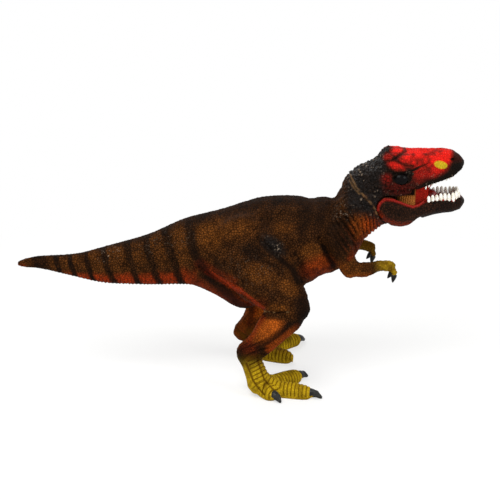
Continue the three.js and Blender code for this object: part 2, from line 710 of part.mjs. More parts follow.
addPiece('torso_right_shell', rightShell, SKIN);
addPiece('torso_left_shell', leftShell, SKIN);
addPiece('tail', axialBody.intersect(behind(tailSeamPoint, FORWARD)).add(tailPlug(0)), SKIN);
addPiece('right_thigh', rightLeg.thigh, SKIN);
addPiece('left_thigh', leftLeg.thigh, SKIN);
addPiece('right_lower_leg', rightLeg.lowerLeg, SKIN);
addPiece('left_lower_leg', leftLeg.lowerLeg, SKIN);
addPiece('right_arm', rightArm.arm, SKIN);
addPiece('left_arm', leftArm.arm, SKIN);

// Gum strips with teeth: a bead along the lip, bent round the front of the mouth

function gumCurve(profile, backX, frontX, inset, height) {
  const side = evenPlaces(backX, frontX, MOUTH_STATIONS).map((x) => {
    const at = profileAt(profile, x);
    return point(x, at.half - inset, height(at));
  });
  const mirrored = side.slice().reverse().map((p) => point(p.x, -p.y, p.z));
  return new THREE.CatmullRomCurve3([...side, ...mirrored], false, 'centripetal');
}

function gumBead(curve, radius) {
  const stations = curve.getSpacedPoints(GUM_RINGS).map((at) => ({ at, depth: radius, width: radius }));
  return limbBody(stations, UPWARD, GUM_SIDES);
}

function teethOn(curve, direction, height) {
  const count = Math.floor(curve.getLength() / TOOTH_PITCH);
  return Array.from({ length: count }, (_, k) => {
    const at = curve.getPointAt((k + 0.5) / count);
    const tooth = new THREE.CylinderGeometry(TOOTH_TIP_RADIUS, TOOTH_BASE_RADIUS, height, TOOTH_SIDES);
    return standOn(tooth, at, direction, height);
  });
}

const lowerGum = gumCurve(
  JAW_PROFILE,
  LOWER_GUM_BACK_X,
  TROUGH_FRONT_X,
  LOWER_GUM_INSET,
  (at) => at.top - LOWER_GUM_SINK,
);
const upperGum = gumCurve(
  SKULL_PROFILE,
  UPPER_GUM_BACK_X,
  PALATE_FRONT_X,
  UPPER_GUM_INSET,
  (at) => at.bottom + UPPER_GUM_RISE,
);

// Head

const palate = profileBody(
  evenPlaces(PALATE_BACK_X, PALATE_FRONT_X, MOUTH_STATIONS).map((x) => {
    const { bottom, half } = profileAt(SKULL_PROFILE, x);
    return [x, bottom + PALATE_DEPTH, bottom - PALATE_DEPTH, half - LIP_THICKNESS];
  }),
  { topPower: THROAT_POWER },
);
const throat = profileBody(THROAT_PROFILE, { topPower: THROAT_POWER });
const eyeCentre = (side) => {
  const { half } = profileAt(SKULL_PROFILE, EYE_X);
  return point(EYE_X, side * (half - EYE_RADIUS + EYE_STAND_OUT), EYE_Z);
};
const eyeBead = (side, grow) => {
  const geometry = new THREE.SphereGeometry(EYE_RADIUS + grow, LIMB_SIDES, LIMB_SIDES / 2);
  const { x, y, z } = eyeCentre(side);
  geometry.translate(x, y, z);
  return toSolid(geometry);
};
const head = axialBody.add(throat)
  .intersect(aheadOf(neckSeamPoint, neckSeamDirection))
  .subtract(jawSweep)
  .subtract(palate)
  .subtract(gumBead(upperGum, GUM_RADIUS + GUM_GAP))
  .subtract(eyeBead(1, SEAM_GAP))
  .subtract(eyeBead(-1, SEAM_GAP))
  .subtract(hingePin(SEAM_GAP))
  .add(headPlug(0));
addPiece('head', head, HEAD_RED);
addPiece('right_eye', eyeBead(-1, 0), EYE_BLACK);
addPiece('left_eye', eyeBead(1, 0), EYE_BLACK);
addPiece('upper_teeth', joinAll([gumBead(upperGum, GUM_RADIUS),
  ...teethOn(upperGum, opposite(UPWARD), UPPER_TOOTH_HEIGHT)]), TOOTH_WHITE);
addPiece('jaw_hinge_pin', hingePin(0), STEEL);

// Lower jaw with its teeth and tongue

const trough = (grow) => profileBody(
  evenPlaces(TROUGH_BACK_X, TROUGH_FRONT_X, MOUTH_STATIONS).map((x) => {
    const { top, half } = profileAt(JAW_PROFILE, x);
    return [x, top + TROUGH_DEPTH, top - TROUGH_DEPTH, half - JAW_RIM];
  }),
  { topPower: THROAT_POWER, lowerPower: TROUGH_LOWER_POWER, grow },
);
const lowerJaw = jawBlank(0)
  .subtract(trough(0))
  .subtract(gumBead(lowerGum, GUM_RADIUS + GUM_GAP))
  .subtract(hingePin(SEAM_GAP));
const tongueOutline = profileBody(
  TONGUE_WIDTHS.map(([share, fullness]) => {
    const x = THREE.MathUtils.lerp(TONGUE_BACK_X, TONGUE_FRONT_X, share);
    const floor = profileAt(JAW_PROFILE, x).top - TROUGH_DEPTH;
    return [x, floor + TONGUE_THICKNESS, floor - TONGUE_THICKNESS, TONGUE_HALF_WIDTH * fullness];
  }),
  { topPower: TRUNK_POWER },
);
addPiece('lower_jaw', lowerJaw, JAW_BROWN);
addPiece('lower_teeth', joinAll([gumBead(lowerGum, GUM_RADIUS),
  ...teethOn(lowerGum, UPWARD, LOWER_TOOTH_HEIGHT)]), TOOTH_WHITE);
addPiece('tongue', tongueOutline.intersect(trough(-SEAM_GAP)), MOUTH_RED);

// Stand the figure on its soles, centred over the origin
const bounds = new THREE.Box3().setFromObject(group);
const centre = bounds.getCenter(new THREE.Vector3());
group.position.set(-centre.x, -centre.y, -bounds.min.z);

export default group;
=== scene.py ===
"""Toy tyrannosaur: painted vinyl hide, claws, teeth, tongue, eyes and hinged jaw, in a plain studio."""

import itertools
import math
from collections import namedtuple

import bmesh
import bpy
import numpy as np
from bpy.props import FloatProperty, FloatVectorProperty, PointerProperty
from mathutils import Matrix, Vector


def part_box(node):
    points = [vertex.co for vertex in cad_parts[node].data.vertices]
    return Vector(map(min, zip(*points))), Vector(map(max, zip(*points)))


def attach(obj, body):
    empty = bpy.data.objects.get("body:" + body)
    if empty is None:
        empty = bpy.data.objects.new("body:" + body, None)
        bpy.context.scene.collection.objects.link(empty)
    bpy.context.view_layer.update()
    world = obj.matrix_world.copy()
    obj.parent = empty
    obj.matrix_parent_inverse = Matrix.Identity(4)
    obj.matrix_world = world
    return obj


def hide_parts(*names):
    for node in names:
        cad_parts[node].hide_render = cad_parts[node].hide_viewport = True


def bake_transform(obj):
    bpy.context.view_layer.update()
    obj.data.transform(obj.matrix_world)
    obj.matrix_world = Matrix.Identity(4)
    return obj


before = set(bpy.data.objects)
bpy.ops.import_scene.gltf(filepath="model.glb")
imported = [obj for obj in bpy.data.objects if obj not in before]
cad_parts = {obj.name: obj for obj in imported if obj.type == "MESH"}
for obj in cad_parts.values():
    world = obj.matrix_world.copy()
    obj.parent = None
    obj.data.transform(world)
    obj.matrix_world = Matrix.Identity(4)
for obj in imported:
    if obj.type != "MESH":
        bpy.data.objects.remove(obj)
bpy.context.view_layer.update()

bl_info = {
    "name": "Toy Tyrannosaur Figure",
    "version": (1, 0, 0),
    "blender": (4, 5, 0),
    "location": "3D View > Sidebar > Tyrannosaur",
    "description": "Dresses the figure's frame in painted vinyl and sets it in a plain studio",
    "category": "Object",
}

# Places: shapes and paint are drawn in millimetres from a point between the hips
MM = 0.001
PIN_LOW, PIN_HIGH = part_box("jaw_hinge_pin")
HINGE = (PIN_LOW + PIN_HIGH) / 2
HINGE_FROM_HIP = Vector((74.0, 0.0, 24.5))
HIP = np.array(HINGE - HINGE_FROM_HIP * MM)
GROUND = -HIP[2] / MM

# The flank is drawn as seen from 18 degrees above and 900 mm away, in millimetres forward and upward
SIGHT_ANGLE = math.radians(18)
SIGHT_DISTANCE = 0.9
LOOK_AT = Vector((0.0068, HIP[1], 0.083))
DRAWING_MIDDLE = (np.array(LOOK_AT) - HIP) / MM
LENS_MM = 105.4

# Seams where the mouldings meet; the solids swell across the gaps
SEAM_GAP = 0.3
NODE_SWELL = 0.35
TAIL_SEAM = (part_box("torso_right_shell")[0].x - HIP[0]) / MM - SEAM_GAP / 2
NECK_SEAM_POINT = (58.0, 0.0, 32.5)
NECK_SEAM_PITCH = math.radians(35)
NECK_SEAM_NORMAL = (math.cos(NECK_SEAM_PITCH), 0.0, math.sin(NECK_SEAM_PITCH))
KNEE_SEAM_HEIGHT = -36.7
LEG_INNER_SIDE = 17.0
BELOW_BELLY = -45.0

# Limbs: joints of the right side, whose y is negative; the left leg is turned out
SIDES = ((-1, "right"), (1, "left"))
HIP_HALF_SPREAD = 22.0
KNEE = (18.4, 8.0, -30.7)
HOCK = (-11.6, 3.0, -63.7)
BALL = (-3.0, 8.0, -82.0)
LEG_TURN = {-1: 0.0, 1: math.radians(20)}
TOES = {
    -1: ((-12, 32, 6), (41, 33, 6.5), (-50, 14, 5)),
    1: ((42, 38.5, 5.5), (-20, 25, 3), (84, 16, 5)),
}
TOE_HEIGHT = 3.3
SHORTEST_CLAW = 4
ARMS = {
    -1: ((42.5, -20, 8), (50.7, -24, -11.3), (68.6, -22, -9.1), (75.1, -22, -9.5)),
    1: ((42.5, 20, 8), (42.9, 24, -13.0), (60.5, 22, -9.6), (66.7, 22, -11.6)),
}
FINGER_PITCHES = {-1: (-100, -124), 1: (-104, -128)}
KNUCKLE_PITCHES = {-1: -51.5, 1: -61}
FINGER_LENGTH = 4.2
FINGER_SPREAD = 2.4
HAND_YELLOW = {-1: 0.5, 1: 0.12}
FINGERS_FROM_PALM = (4.0, 0.0, -8.0)
FOOT_TOPS = {-1: -61.0, 1: -73.0}
FOOT_REACH = 11.0
SCUTE_CRACK = 0.24
TOE_CLAW_ROOT = -1.4
TOE_CLAW_EXTRA = 1.6
TOE_CLAW_RADIUS = 2.8
TOE_CLAW_HOOK = 2.5
FINGER_CLAW_ROOT = 2.0
FINGER_CLAW_LENGTH = 4.7
FINGER_CLAW_RADIUS = 1.75

# Lines between the columns of scutes above the near toes and folds round the hock, on the flank drawing
SCUTE_DIVIDES = (
    [(-4.6, -76.5), (-3.9, -79.7), (-0.4, -90.1), (5.6, -97.3)],
    [(-11.5, -80), (-9.5, -84.7), (-7.3, -91), (-3.9, -96), (-0.4, -100)],
)
HOCK_FOLDS = (
    [(-16.8, -73.3), (-13.4, -70.1), (-7.3, -67.9), (-2.1, -66)],
    [(-13.5, -77), (-9.5, -73.5), (-3.5, -71.5), (1, -70)],
)

# Lines of the head on the flank drawing
BROW_LINE = [(100, 49.6), (94.7, 46.9), (91, 44.9), (85.9, 43.5), (79.3, 42.6)]
CREST_LINE = [(86.4, 57.5), (82, 54.6), (78, 51.7), (73.5, 50.6)]
TEMPLE_LINE = [(78, 52), (82.6, 50), (87, 48.4), (91, 48)]
NECK_RIDGE = [(51.5, 43.5), (53.5, 39.6), (56.3, 33.8), (61.2, 28.1), (65, 24), (67.8, 19.4), (69.4, 15.5)]
LIP_LINE = [(96, 34.6), (98, 35), (103.5, 36.4), (109, 38.7), (114.5, 40.8), (117.5, 43), (120.5, 46.5)]

# Clay on the head, on both sides: ropes as lines and radii, and eggs as middles and radii
HEAD_ROPES = (
    ([(97.5, 11.2, 51.4), (91, 13.0, 49.0), (84.5, 14.8, 47.2), (77.5, 15.4, 46.6)], (1.0, 1.9, 2.4, 1.9)),
    ([(88, 9.4, 55.4), (83, 10.6, 54.4), (77, 11.8, 53.0), (72, 12.6, 51.0)], (0.8, 1.6, 1.8, 1.3)),
    ([(84, 3.4, 55.8), (80.5, 4.2, 56.2), (77.5, 4.0, 56.0)], (1.0, 2.3, 2.0)),
    (
        [(90, 13.2, 35.8), (98, 12.0, 38.8), (106, 10.3, 41.0), (112, 8.8, 42.9), (116, 6.5, 45.4)],
        (0.8, 0.9, 0.9, 0.9, 0.8),
    ),
    ([(68, 14.4, 34.8), (75, 15.2, 33.8), (81, 14.8, 33.6), (87, 13.6, 34.8)], (1.5, 2.0, 1.8, 1.2)),
)
HEAD_EGGS = (
    ((74.3, 4.0, 56.6), (2.0, 2.4, 2.2)),
    ((70.5, 13.2, 37.5), (6.5, 4.0, 6.5)),
    ((112.2, 5.8, 52.8), (2.6, 1.6, 1.8)),
)
NAPE_BUMPS = ((70.0, 3.0, 54.0), (65.5, 4.0, 50.6), (61.5, 2.5, 47.6), (57.0, 4.0, 44.2), (64.0, 9.0, 46.0))
NAPE_BUMP_RADII = (1.5, 2.1, 1.6)
SNOUT_BUMPS = np.arange(85.0, 106.0, 2.6)
SNOUT_BUMP_HEIGHT = 56.7
SNOUT_BUMP_RADII = (1.35, 1.1, 1.5)

# Rounds of evening out, and ovals where the tail and the hip meet the torso
EVENED_OVALS = (
    (250, (-32, -4, 13, 22)),
    (200, (-16, 14, 22, 10)),
)
# Slighter changes of outline: height, and an oval on the flank drawing at knee, belly or neck root
OUTLINE_OVALS = (
    (1.1, (26, -47, 6.5, 6)),
    (0.9, (22.5, -31, 5, 5)),
    (-0.8, (29, -38, 5, 5)),
    (-1.0, (34.5, -23, 8, 5)),
    (-1.6, (45, 31, 6, 5)),
)
# Height, middle and reach of changes on the far shank and then on its hock
HOCK_BALLS = (
    ((1.6, (-11.5, 25, -49), 7), (-1.6, (-17, 22, -58), 7)),
    ((1.2, (-20, 20, -66), 6), (3.0, (-17, 19, -71), 7)),
)
ELBOW_BALL = ((60.5, -23, -11), 10)
# Place, half-length and depth of the dips in the back line before the neck
BACK_DIPS = ((28.0, 6.5, 0.9), (41.5, 5.0, 1.5))

# Grooves and ridges that part thigh, flank, shoulder and knee: line, width and height
BORDERS = (
    ([(-41, -18), (-28, -27), (-14.7, -35.4), (-2, -45)], 3.0, -0.9),
    ([(-40, -15.5), (-27, -24.5), (-13.5, -32.5), (-1, -42.5)], 2.2, 0.6),
    ([(-4, 1), (7, -9), (16.5, -17), (21, -27)], 3.0, -1.5),
    ([(-6, -3), (4, -13), (13, -21)], 4.0, 0.7),
    ([(33, 1), (38.5, -10.5), (42.5, -17)], 2.6, -1.2),
    ([(1, -46.6), (7, -47.3), (14.5, -47)], 1.2, -0.6),
)
HIP_FOLD_SHIFTS = (0.0, 3.0, 5.6)

# Creases and the ridge of the head: line, width and height
FACE_STROKES = (
    (BROW_LINE, 1.4, -0.8),
    (CREST_LINE, 1.6, -0.7),
    (TEMPLE_LINE, 1.3, -0.5),
    ([(68, 33.5), (80, 31), (92, 32)], 1.6, -0.5),
    (NECK_RIDGE, 1.3, 0.7),
)

# Ovals of folds, of rough and smooth skin, of the eye sockets, nostrils and the hollow behind the crest
CHEST_FOLDS = (50, 8, 13, 22)
THROAT_FOLDS = (64, 9, 11, 13)
RED_FOLDS = (54, 0, 10, 16)
HIP_SCALES = (5, -3.5, 13, 6.5, -40)
SMOOTH_FACE = (90, 50, 16, 9)
EYE_SOCKET = (84.3, 39.6, 8.0, 5.0)
NOSTRIL = (115.6, 52.2, 2.3, 1.6)
NAPE_HOLLOW = (66.5, 51.5, 12, 8)

# Stripes down the tail, each as its middle on the flank and its half-width
TAIL_STRIPES = (
    (-138, 4.5), (-127, 1.6), (-118, 1.5), (-107.5, 1.6),
    (-96, 1.8), (-81, 1.9), (-69, 1.9), (-56, 2.2),
)
STRIPE_LEAN = 0.29
TRUNK_STEP = 4.0
TRUNK_WINDOW = 4.5

# Patches of paint: paint, strength, evenness, mottling, and an oval or a line with its width
TRUNK_PATCHES = (
    ("black", 0.8, 1.0, 0.0, ([(-47, 12), (-44.5, -7), (-34, -24), (-18, -40), (-8, -46)], 4.6)),
    # Painted shadow in the crease in front of the thigh
    ("black", 0.85, 1.0, 0.0, ([(-2, -2), (8, -11), (17, -19), (21, -27)], 3.2)),
    # Painted shadow in the crease between chest and arm
    ("black", 0.8, 1.0, 0.0, ([(35.5, -4), (38.5, -10.5), (42, -17)], 2.6)),
    ("black", 0.55, 0.8, 0.5, (2, 16, 7, 22, -8)),
    ("black", 0.4, 0.8, 0.5, (16, 16, 7, 22, -8)),
    ("black", 0.85, 0.8, 0.5, (25, 16, 7, 22, -8)),
    ("black", 0.7, 0.8, 0.5, (34, 16, 7, 22, -8)),
    ("black", 0.75, 0.9, 0.4, (-8, -8, 12, 8, -30)),
    ("black", 0.97, 1.0, 0.0, (5, -3.5, 15, 7.5, -40)),
    ("black", 0.75, 0.8, 0.5, (45, 3, 12, 22, 15)),
    # The red line along the thigh's rear ridge, painted partly as the highlight that this edge catches
    ("belly", 0.95, 1.0, 0.0, ([(-36, -20.2), (-27, -26), (-15, -33)], 2.8)),
    ("belly", 0.85, 1.0, 0.0, ([(-15, -33), (-13.5, -34), (-1, -44)], 1.7)),
    ("belly", 0.35, 0.8, 0.5, ([(-40, -15.5), (-30, -22), (-20, -27)], 5.0)),
    ("belly", 0.45, 0.6, 0.6, ([(67, 8), (60, 2), (56, -6), (53, -13)], 4.0)),
    ("belly", 0.62, 0.75, 0.7, (32, -18, 15, 10, 24)),
    ("belly", 0.8, 0.85, 0.4, (66.5, 9.5, 11, 10)),
    ("orange", 0.2, 0.7, 0.8, (32, -14, 12, 8)),
    ("orange", 0.32, 0.9, 0.4, (60, 9, 11, 12)),
    # Dry-brushed ochre patches, which also paint the light on the lit parts of flank and thigh
    ("ochre", 1.0, 0.8, 0.5, (-21, 7, 22, 13)),
    ("ochre", 1.0, 0.8, 0.5, (12, 8, 10, 6)),
    ("ochre", 1.0, 0.8, 0.5, (-2, -23, 20, 10, -30)),
    ("ochre", 1.0, 0.8, 0.5, (14, -31, 12, 7, -40)),
    ("ochre", 1.0, 0.8, 0.5, (7, -44, 11, 4)),
    ("ochre", 1.0, 0.8, 0.5, (-34, 2, 13, 15)),
    ("ochre", 1.0, 0.8, 0.5, (28, -8, 11, 9)),
    ("gloss", 0.6, 1.0, 0.0, (5, -3.5, 13, 7, -40)),
)
SHANK_FRONT = [(20, -57), (12.6, -63.3), (3, -70)]
LEG_PATCHES = (
    ("orange", 0.95, 0.9, 0.35, (2.5, -57.5, 16, 8.5, 45)),
    ("orange", 0.3, 1.0, 0.0, (SHANK_FRONT, 4.4)),
    ("belly", 0.45, 0.8, 0.5, (SHANK_FRONT, 4.4)),
    ("belly", 0.45, 1.0, 0.0, ([(-1, -50), (-5, -57), (-10, -65)], 3.0)),
    ("belly", 0.3, 1.0, 0.0, (-10, -70, 8, 8)),
    # Painted shade down the shank behind its front edge
    ("black", 0.6, 1.0, 0.0, ([(16, -54), (12.9, -56.5), (5.6, -62.4), (-5, -70)], 3.0)),
    # Painted shadow under the thigh, below the knee seam
    ("black", 0.8, 0.8, 0.5, ([(2, -48.6), (9, -49.4), (17, -50)], 3.6)),
)
KNEE_FRONT = ("black", 0.97, 0.9, 0.2, (23.5, -44, 8, 15))
UPPER_ARM = ("orange", 0.12, 0.8, 0.4, (48, -17.5, 8, 4.5, -38))
FAR_SHANK_STRIPE = ([(-7, -55), (-8.4, -60), (-11, -75.8)], 3.4)
KNEE_DOTS = ([(1, -46.4), (7, -46.8), (14.5, -46.6)], 0.7)
KNEE_SPOT = (-0.3, -46.2, 1.2, 1.0)

# Where painted highlights on the tips of scales show on the trunk, and the red of the face, as strengths and
# places
TRUNK_PAINTED_HIGHLIGHTS = (
    (1.0, (-96, -9, 12, 6, 20)),
    (0.9, (6, -4, 12, 6, -40)),
    (0.6, (49, 19, 8, 12, -30)),
    (0.2, (-60, 0, 30, 12, 15)),
    (0.14, (-10, -20, 30, 20)),
)
FACE_RED = (
    (1.0, ([(88, 53), (96, 52.5), (104, 51.5), (109, 52)], 8.5)),
    (0.8, ([(95, 43.5), (103, 45), (108, 48)], 7.5)),
    (1.0, (81.5, 57.5, 6.5, 5)),
    (0.8, (80.5, 48, 9.5, 4.4, -25)),
    (0.6, (75.5, 53.5, 5, 4.5)),
    (0.42, (74.6, 39.2, 6.2, 6.0)),
    (0.32, (94, 38.5, 9, 5)),
    (0.24, (82, 33.5, 16, 7)),
)
# Painted shade in the creases of crest and temple and in the nostril
FACE_CREASE_SHADE = (
    (0.55, (CREST_LINE, 1.7)),
    (0.45, (TEMPLE_LINE, 1.6)),
    (1.0, (115.6, 52.3, 2.3, 1.6)),
)
# Painted shadow round the eye, under the brow
EYE_SHADOW = (84.3, 39.7, 7.8, 4.6)
EYE_SHADOW_FRONT = (87, 41.6, 6.5, 3.0, 20)
FACE_SHADE = (97, 43, 10, 6)
SNOUT_SPOT = (108.1, 48.6, 4.9, 2.9, -15)
SECOND_RIDGE = [(52, 38.5), (54.4, 34), (58, 29.8)]

# Lower jaw: its raised rim in millimetres from the hips, and lines on the flank drawing
JAW_RIM = [
    (67.0, 13.8, 22.5),
    (67.6, 14.3, 25.5),
    (68.8, 14.8, 28.2),
    (71.5, 15.2, 30.1),
    (76, 15.6, 29.8),
    (80.5, 15.2, 28.4),
    (84.5, 14.4, 26.5),
    (88.5, 13.0, 25.0),
    (92, 11.7, 25.7),
    (95, 10.6, 27.4),
    (97.5, 9.8, 29.0),
]
JAW_RIM_RADIUS = 0.9
JAW_RIM_STEPS = 50
JAW_GROOVE = [(72, 20), (80, 17), (90, 15)]
JAW_FLARE = [(66.5, 17), (70, 12.5), (76, 9.5), (83, 8), (90, 9.5)]
JAW_LIP = [(98.5, 23.6), (105, 24.4), (112, 25.6), (120, 27.4)]
JAW_FRINGE = [(68, 18.5), (71, 14.6), (74, 12.2), (79, 10), (84.8, 8.8), (89, 9.6)]
JAW_CORNER = (95.5, 14.5, 8, 6)
JAW_LOBE_TOP = (75.5, 27, 7, 3.6)

# Rows of teeth: the shifts raise roots and gum, and the upper row's front sits higher, behind the lip
ToothRow = namedtuple("ToothRow", "node body count root_shift gum_shift gum_narrowing radius lean")
TOOTH_ROWS = (
    ToothRow("lower_teeth", "jaw", 20, -0.6, -1.5, 1.0, 1.15, -0.3),
    ToothRow("upper_teeth", "figure", 26, -0.3, 0.6, 0.93, 0.62, -0.4),
)
UPPER_FRONT_RISE = 1.0
GUM_RADIUS = 1.05
GUM_STEPS = 60
GUM_INSET = 1.1
GUM_REAR_INSET = 2.2
GUM_STATIONS = 7
GUM_WINDOW = 1.7
GUM_FRONT_SHARE = 0.72

# Tongue, eyes and the folded skin at the corners of the mouth, which hangs between two lines
TONGUE_ROOT = ((100.0, 0.0, 28.0), (5.0, 4.4, 4.6))
TONGUE_VOXEL = 0.35
EYE_SHIFT = (-0.6, 0.0, -0.1)
EYE_RADII = (5.0, 3.6, 4.1)
CHEEK_COLUMNS = 141
CHEEK_ROWS = 19
CHEEK_THICKNESS = 0.7
CHEEK_FOLDS = 17
CHEEK_FOLD_DEPTH = 0.5
CHEEK_REAR = 76.0
CHEEK_FRONT = 89.5
CHEEK_TOP_LENGTH = 25.0
CHEEK_LOW_LENGTH = 23.0
CHEEK_TOP_HEIGHTS = ((0, 0.4, 1), (32.4, 34.4, 39.6))
CHEEK_LOW_HEIGHTS = ((0, 0.3, 0.6, 0.72, 0.86, 1), (27.0, 26.4, 24.4, 24.2, 25.6, 27.6))

# Multipliers that scramble whole numbers, and the width of cracks as a share of a pebbly scale
HASH_PRIMES = np.array((73856093, 19349663, 83492791))
HASH_SEED = 2654435761
HASH_MIX = 1274126177
PEBBLE_CRACK = 0.55

# Length of a rope's end as a share of its radius, and the steepness of soft ovals' and lines' edges
TUBE_END = 0.6
SPOT_EDGE = 1.35
BAND_EDGE = 1.3

# Patterns of the finishes, in millimetres
FINE_GRAIN = 0.5
BRUSH_PATCH = 5.0
SCALE_RELIEF = 0.3

# Soft lamps: name, place in metres, size in metres and watts
SOFTBOXES = (
    ("key_softbox", (-0.25, -0.55, 0.95), 0.7, 9.0),
    ("side_softbox", (0.75, -0.5, 0.55), 0.5, 4.0),
    ("rim_softbox", (-0.2, 0.7, 0.8), 0.6, 4.0),
)
FLOOR_RADIUS = 6.0
SHADOW_REACH = (0.1, 0.34)
SHADOW_WHITENESS = 0.62
FILL_LIGHT = 0.42
WHITE = (1.0, 1.0, 1.0, 1.0)
CLIP_RANGE = (0.01, 50.0)


def hex_colour(text):
    """Linear colour of an sRGB hex value."""
    parts = [int(text[k : k + 2], 16) / 255 for k in (1, 3, 5)]
    return tuple(c / 12.92 if c <= 0.04045 else ((c + 0.055) / 1.055) ** 2.4 for c in parts)


def colour_property(name, text, description):
    """A colour that a user may change, written as sRGB hex."""
    return FloatVectorProperty(
        name=name, description=description, subtype="COLOR", min=0, max=1, default=hex_colour(text)
    )


def length_property(name, size, description):
    """A length that a user may change, written in millimetres."""
    return FloatProperty(name=name, description=description, unit="LENGTH", min=0, default=size * MM)


class FigurePaints(bpy.types.PropertyGroup):
    """Paints of the figure."""

    # The crack colour is a dark wash between the scales, and it also paints the shade in creases and hollows
    crack: colour_property("Crack", "#0c0603", "Dark wash between the scales")
    hide: colour_property("Hide", "#402613", "Brown of the back and flanks")
    # Ochre also paints the light on the lit parts of flank and thigh
    ochre: colour_property("Ochre", "#734116", "Dry-brushed mottling on the scales")
    # Belly red also paints the highlight along the thigh's rear ridge
    belly: colour_property("Belly", "#ae340f", "Red-orange of the belly, throat and tail underside")
    orange: colour_property("Orange", "#d6691e", "Orange of the shanks")
    yellow: colour_property("Yellow", "#c6a21a", "Olive yellow of the feet and hands")
    # The scute colour also paints the shade in the hollows of the feet
    scute: colour_property("Scute line", "#4a2c06", "Brown wash between the scutes")
    # Face red also paints a highlight along the jaw's rim
    red: colour_property("Face red", "#ee2018", "Red of the face")
    # Black also paints shadow in the creases of thigh, arm and knee, and shade in the face's creases and
    # round the eyes
    black: colour_property("Black", "#0d0a08", "Stripes, snout tip, nape and knees")
    tan: colour_property("Tan", "#8f6a42", "Ridge across the neck")
    # Painted highlights: pale dots on single scale tips stand in for the glints of light on them
    painted_highlight: colour_property("Pale tips", "#a8927c", "Dry-brushed tips of single scales")
    spot: colour_property("Snout spot", "#b4a41c", "Yellow oval on the snout")
    mouth: colour_property("Mouth", "#84180f", "Inside of the mouth and the jaw's rim")
    jaw: colour_property("Jaw", "#3a2012", "Dark brown of the lower jaw")
    claw: colour_property("Claw", "#343432", "Grey of the claws")
    tooth: colour_property("Tooth", "#f1eee6", "White of the teeth")
    gum: colour_property("Gum", "#8c1f18", "Red of the gums")
    cheek: colour_property("Cheek", "#a0612b", "Tan folds at the corners of the mouth")
    floor: colour_property("Floor", "#f4f4f2", "Studio floor")


class FigureSizes(bpy.types.PropertyGroup):
    """Sizes of the figure's surface."""

    voxel: length_property("Skin fineness", 0.5, "Spacing of the hide's points")
    jaw_voxel: length_property("Jaw fineness", 0.4, "Spacing of the jaw's points")
    scale: length_property("Scale", 1.4, "Width of a pebbly scale")
    nape_scale: length_property("Nape scale", 2.3, "Width of a bump on the nape")
    scute: length_property("Scute", 2.3, "Length of a scute on the toes")
    lower_tooth: length_property("Lower tooth", 3.6, "Height of a lower tooth")
    upper_tooth: length_property("Upper tooth", 1.7, "Height of the rearmost upper teeth")


def metres(points):
    """Millimetres from the hips as metres in the frame."""
    return np.asarray(points, float) * MM + HIP


def flank_drawing(points):
    """Places of points on the flank drawing, which both sides of the figure share."""
    x, y, z = (points - DRAWING_MIDDLE).T
    c, s = math.cos(SIGHT_ANGLE), math.sin(SIGHT_ANGLE)
    away = SIGHT_DISTANCE / MM
    scale = away / (away - np.abs(y) * c - z * s)
    return np.stack([x * scale, (z - np.abs(y) * s / c) * scale], axis=1) + DRAWING_MIDDLE[[0, 2]]


def smooth(t):
    """Ease from 0 to 1."""
    t = np.clip(t, 0.0, 1.0)
    return t * t * (3.0 - 2.0 * t)


def rise(value, start, width):
    """Ease from 0 at a start to 1 a width above it."""
    return smooth((value - start) / width)


def fall(value, start, width):
    """Ease from 0 at a start to 1 a width below it."""
    return smooth((start - value) / width)


def near_path(points, path):
    """Distance of each point from a line of straight runs, and how far along the line that is."""
    path = np.asarray(path, float)
    nearest = np.full(len(points), np.inf)
    along = np.zeros(len(points))
    walked = 0.0
    for a, b in zip(path[:-1], path[1:]):
        run = b - a
        length = np.linalg.norm(run)
        share = np.clip((points - a) @ run / length**2, 0, 1)
        distance = np.linalg.norm(points - a - share[:, None] * run, axis=1)
        closer = distance < nearest
        nearest[closer] = distance[closer]
        along[closer] = walked + share[closer] * length
        walked += length
    return nearest, along


def scramble(cells, seed):
    """A fixed number from 0 to 1 for each whole-number cell."""
    stirred = np.bitwise_xor.reduce(cells * HASH_PRIMES, axis=1) ^ ((seed + 1) * HASH_SEED)
    stirred = (stirred ^ (stirred >> 13)) * HASH_MIX
    return ((stirred ^ (stirred >> 16)) & 0xFFFF) / 0xFFFF


def clouds(points, size, seed):
    """Smooth noise from -1 to 1 with patches of the given size."""
    spread = points / size
    cells = np.floor(spread)
    share = smooth(spread - cells)
    cells = cells.astype(np.int64)
    total = np.zeros(len(points))
    for corner in itertools.product((0, 1), repeat=3):
        weight = np.prod(np.where(corner, share, 1 - share), axis=1)
        total += weight * scramble(cells + np.array(corner), seed)
    return total * 2 - 1


def pebbles(points, size, seed):
    """Rounded scales: 1 on the middle of a scale and 0 in the cracks."""
    spread = points / size
    cells = np.floor(spread).astype(np.int64)
    first = np.full(len(points), np.inf)
    second = np.full(len(points), np.inf)
    for step in itertools.product((-1, 0, 1), repeat=3):
        cell = cells + np.array(step)
        middle = cell + np.stack([scramble(cell, seed + axis) for axis in range(3)], axis=1)
        distance = np.linalg.norm(spread - middle, axis=1)
        second = np.minimum(second, np.maximum(first, distance))
        first = np.minimum(first, distance)
    return smooth((second - first) / PEBBLE_CRACK)


def new_object(name, mesh, material):
    """Links a smooth-shaded mesh object with one material."""
    mesh.polygons.foreach_set("use_smooth", np.ones(len(mesh.polygons), bool))
    mesh.materials.clear()
    mesh.materials.append(material)
    made = bpy.data.objects.new(name, mesh)
    bpy.context.scene.collection.objects.link(made)
    return made


def dress(made, body, slot, *nodes):
    """Ties a piece to its CAD body and hides the nodes that it stands for; the slot is not used."""
    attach(made, body)
    if nodes:
        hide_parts(*nodes)


# Clay: closed forms, as points in millimetres and faces


def cad_form(node, swell):
    """A CAD node's closed form, pushed out a little so that neighbours overlap."""
    work = bmesh.new()
    work.from_mesh(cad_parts[node].data)
    bmesh.ops.remove_doubles(work, verts=work.verts, dist=1e-6)
    bmesh.ops.recalc_face_normals(work, faces=work.faces)
    work.normal_update()
    points = np.array([v.co + v.normal * swell * MM for v in work.verts])
    faces = [[v.index for v in f.verts] for f in work.faces]
    work.free()
    return (points - HIP) / MM, faces


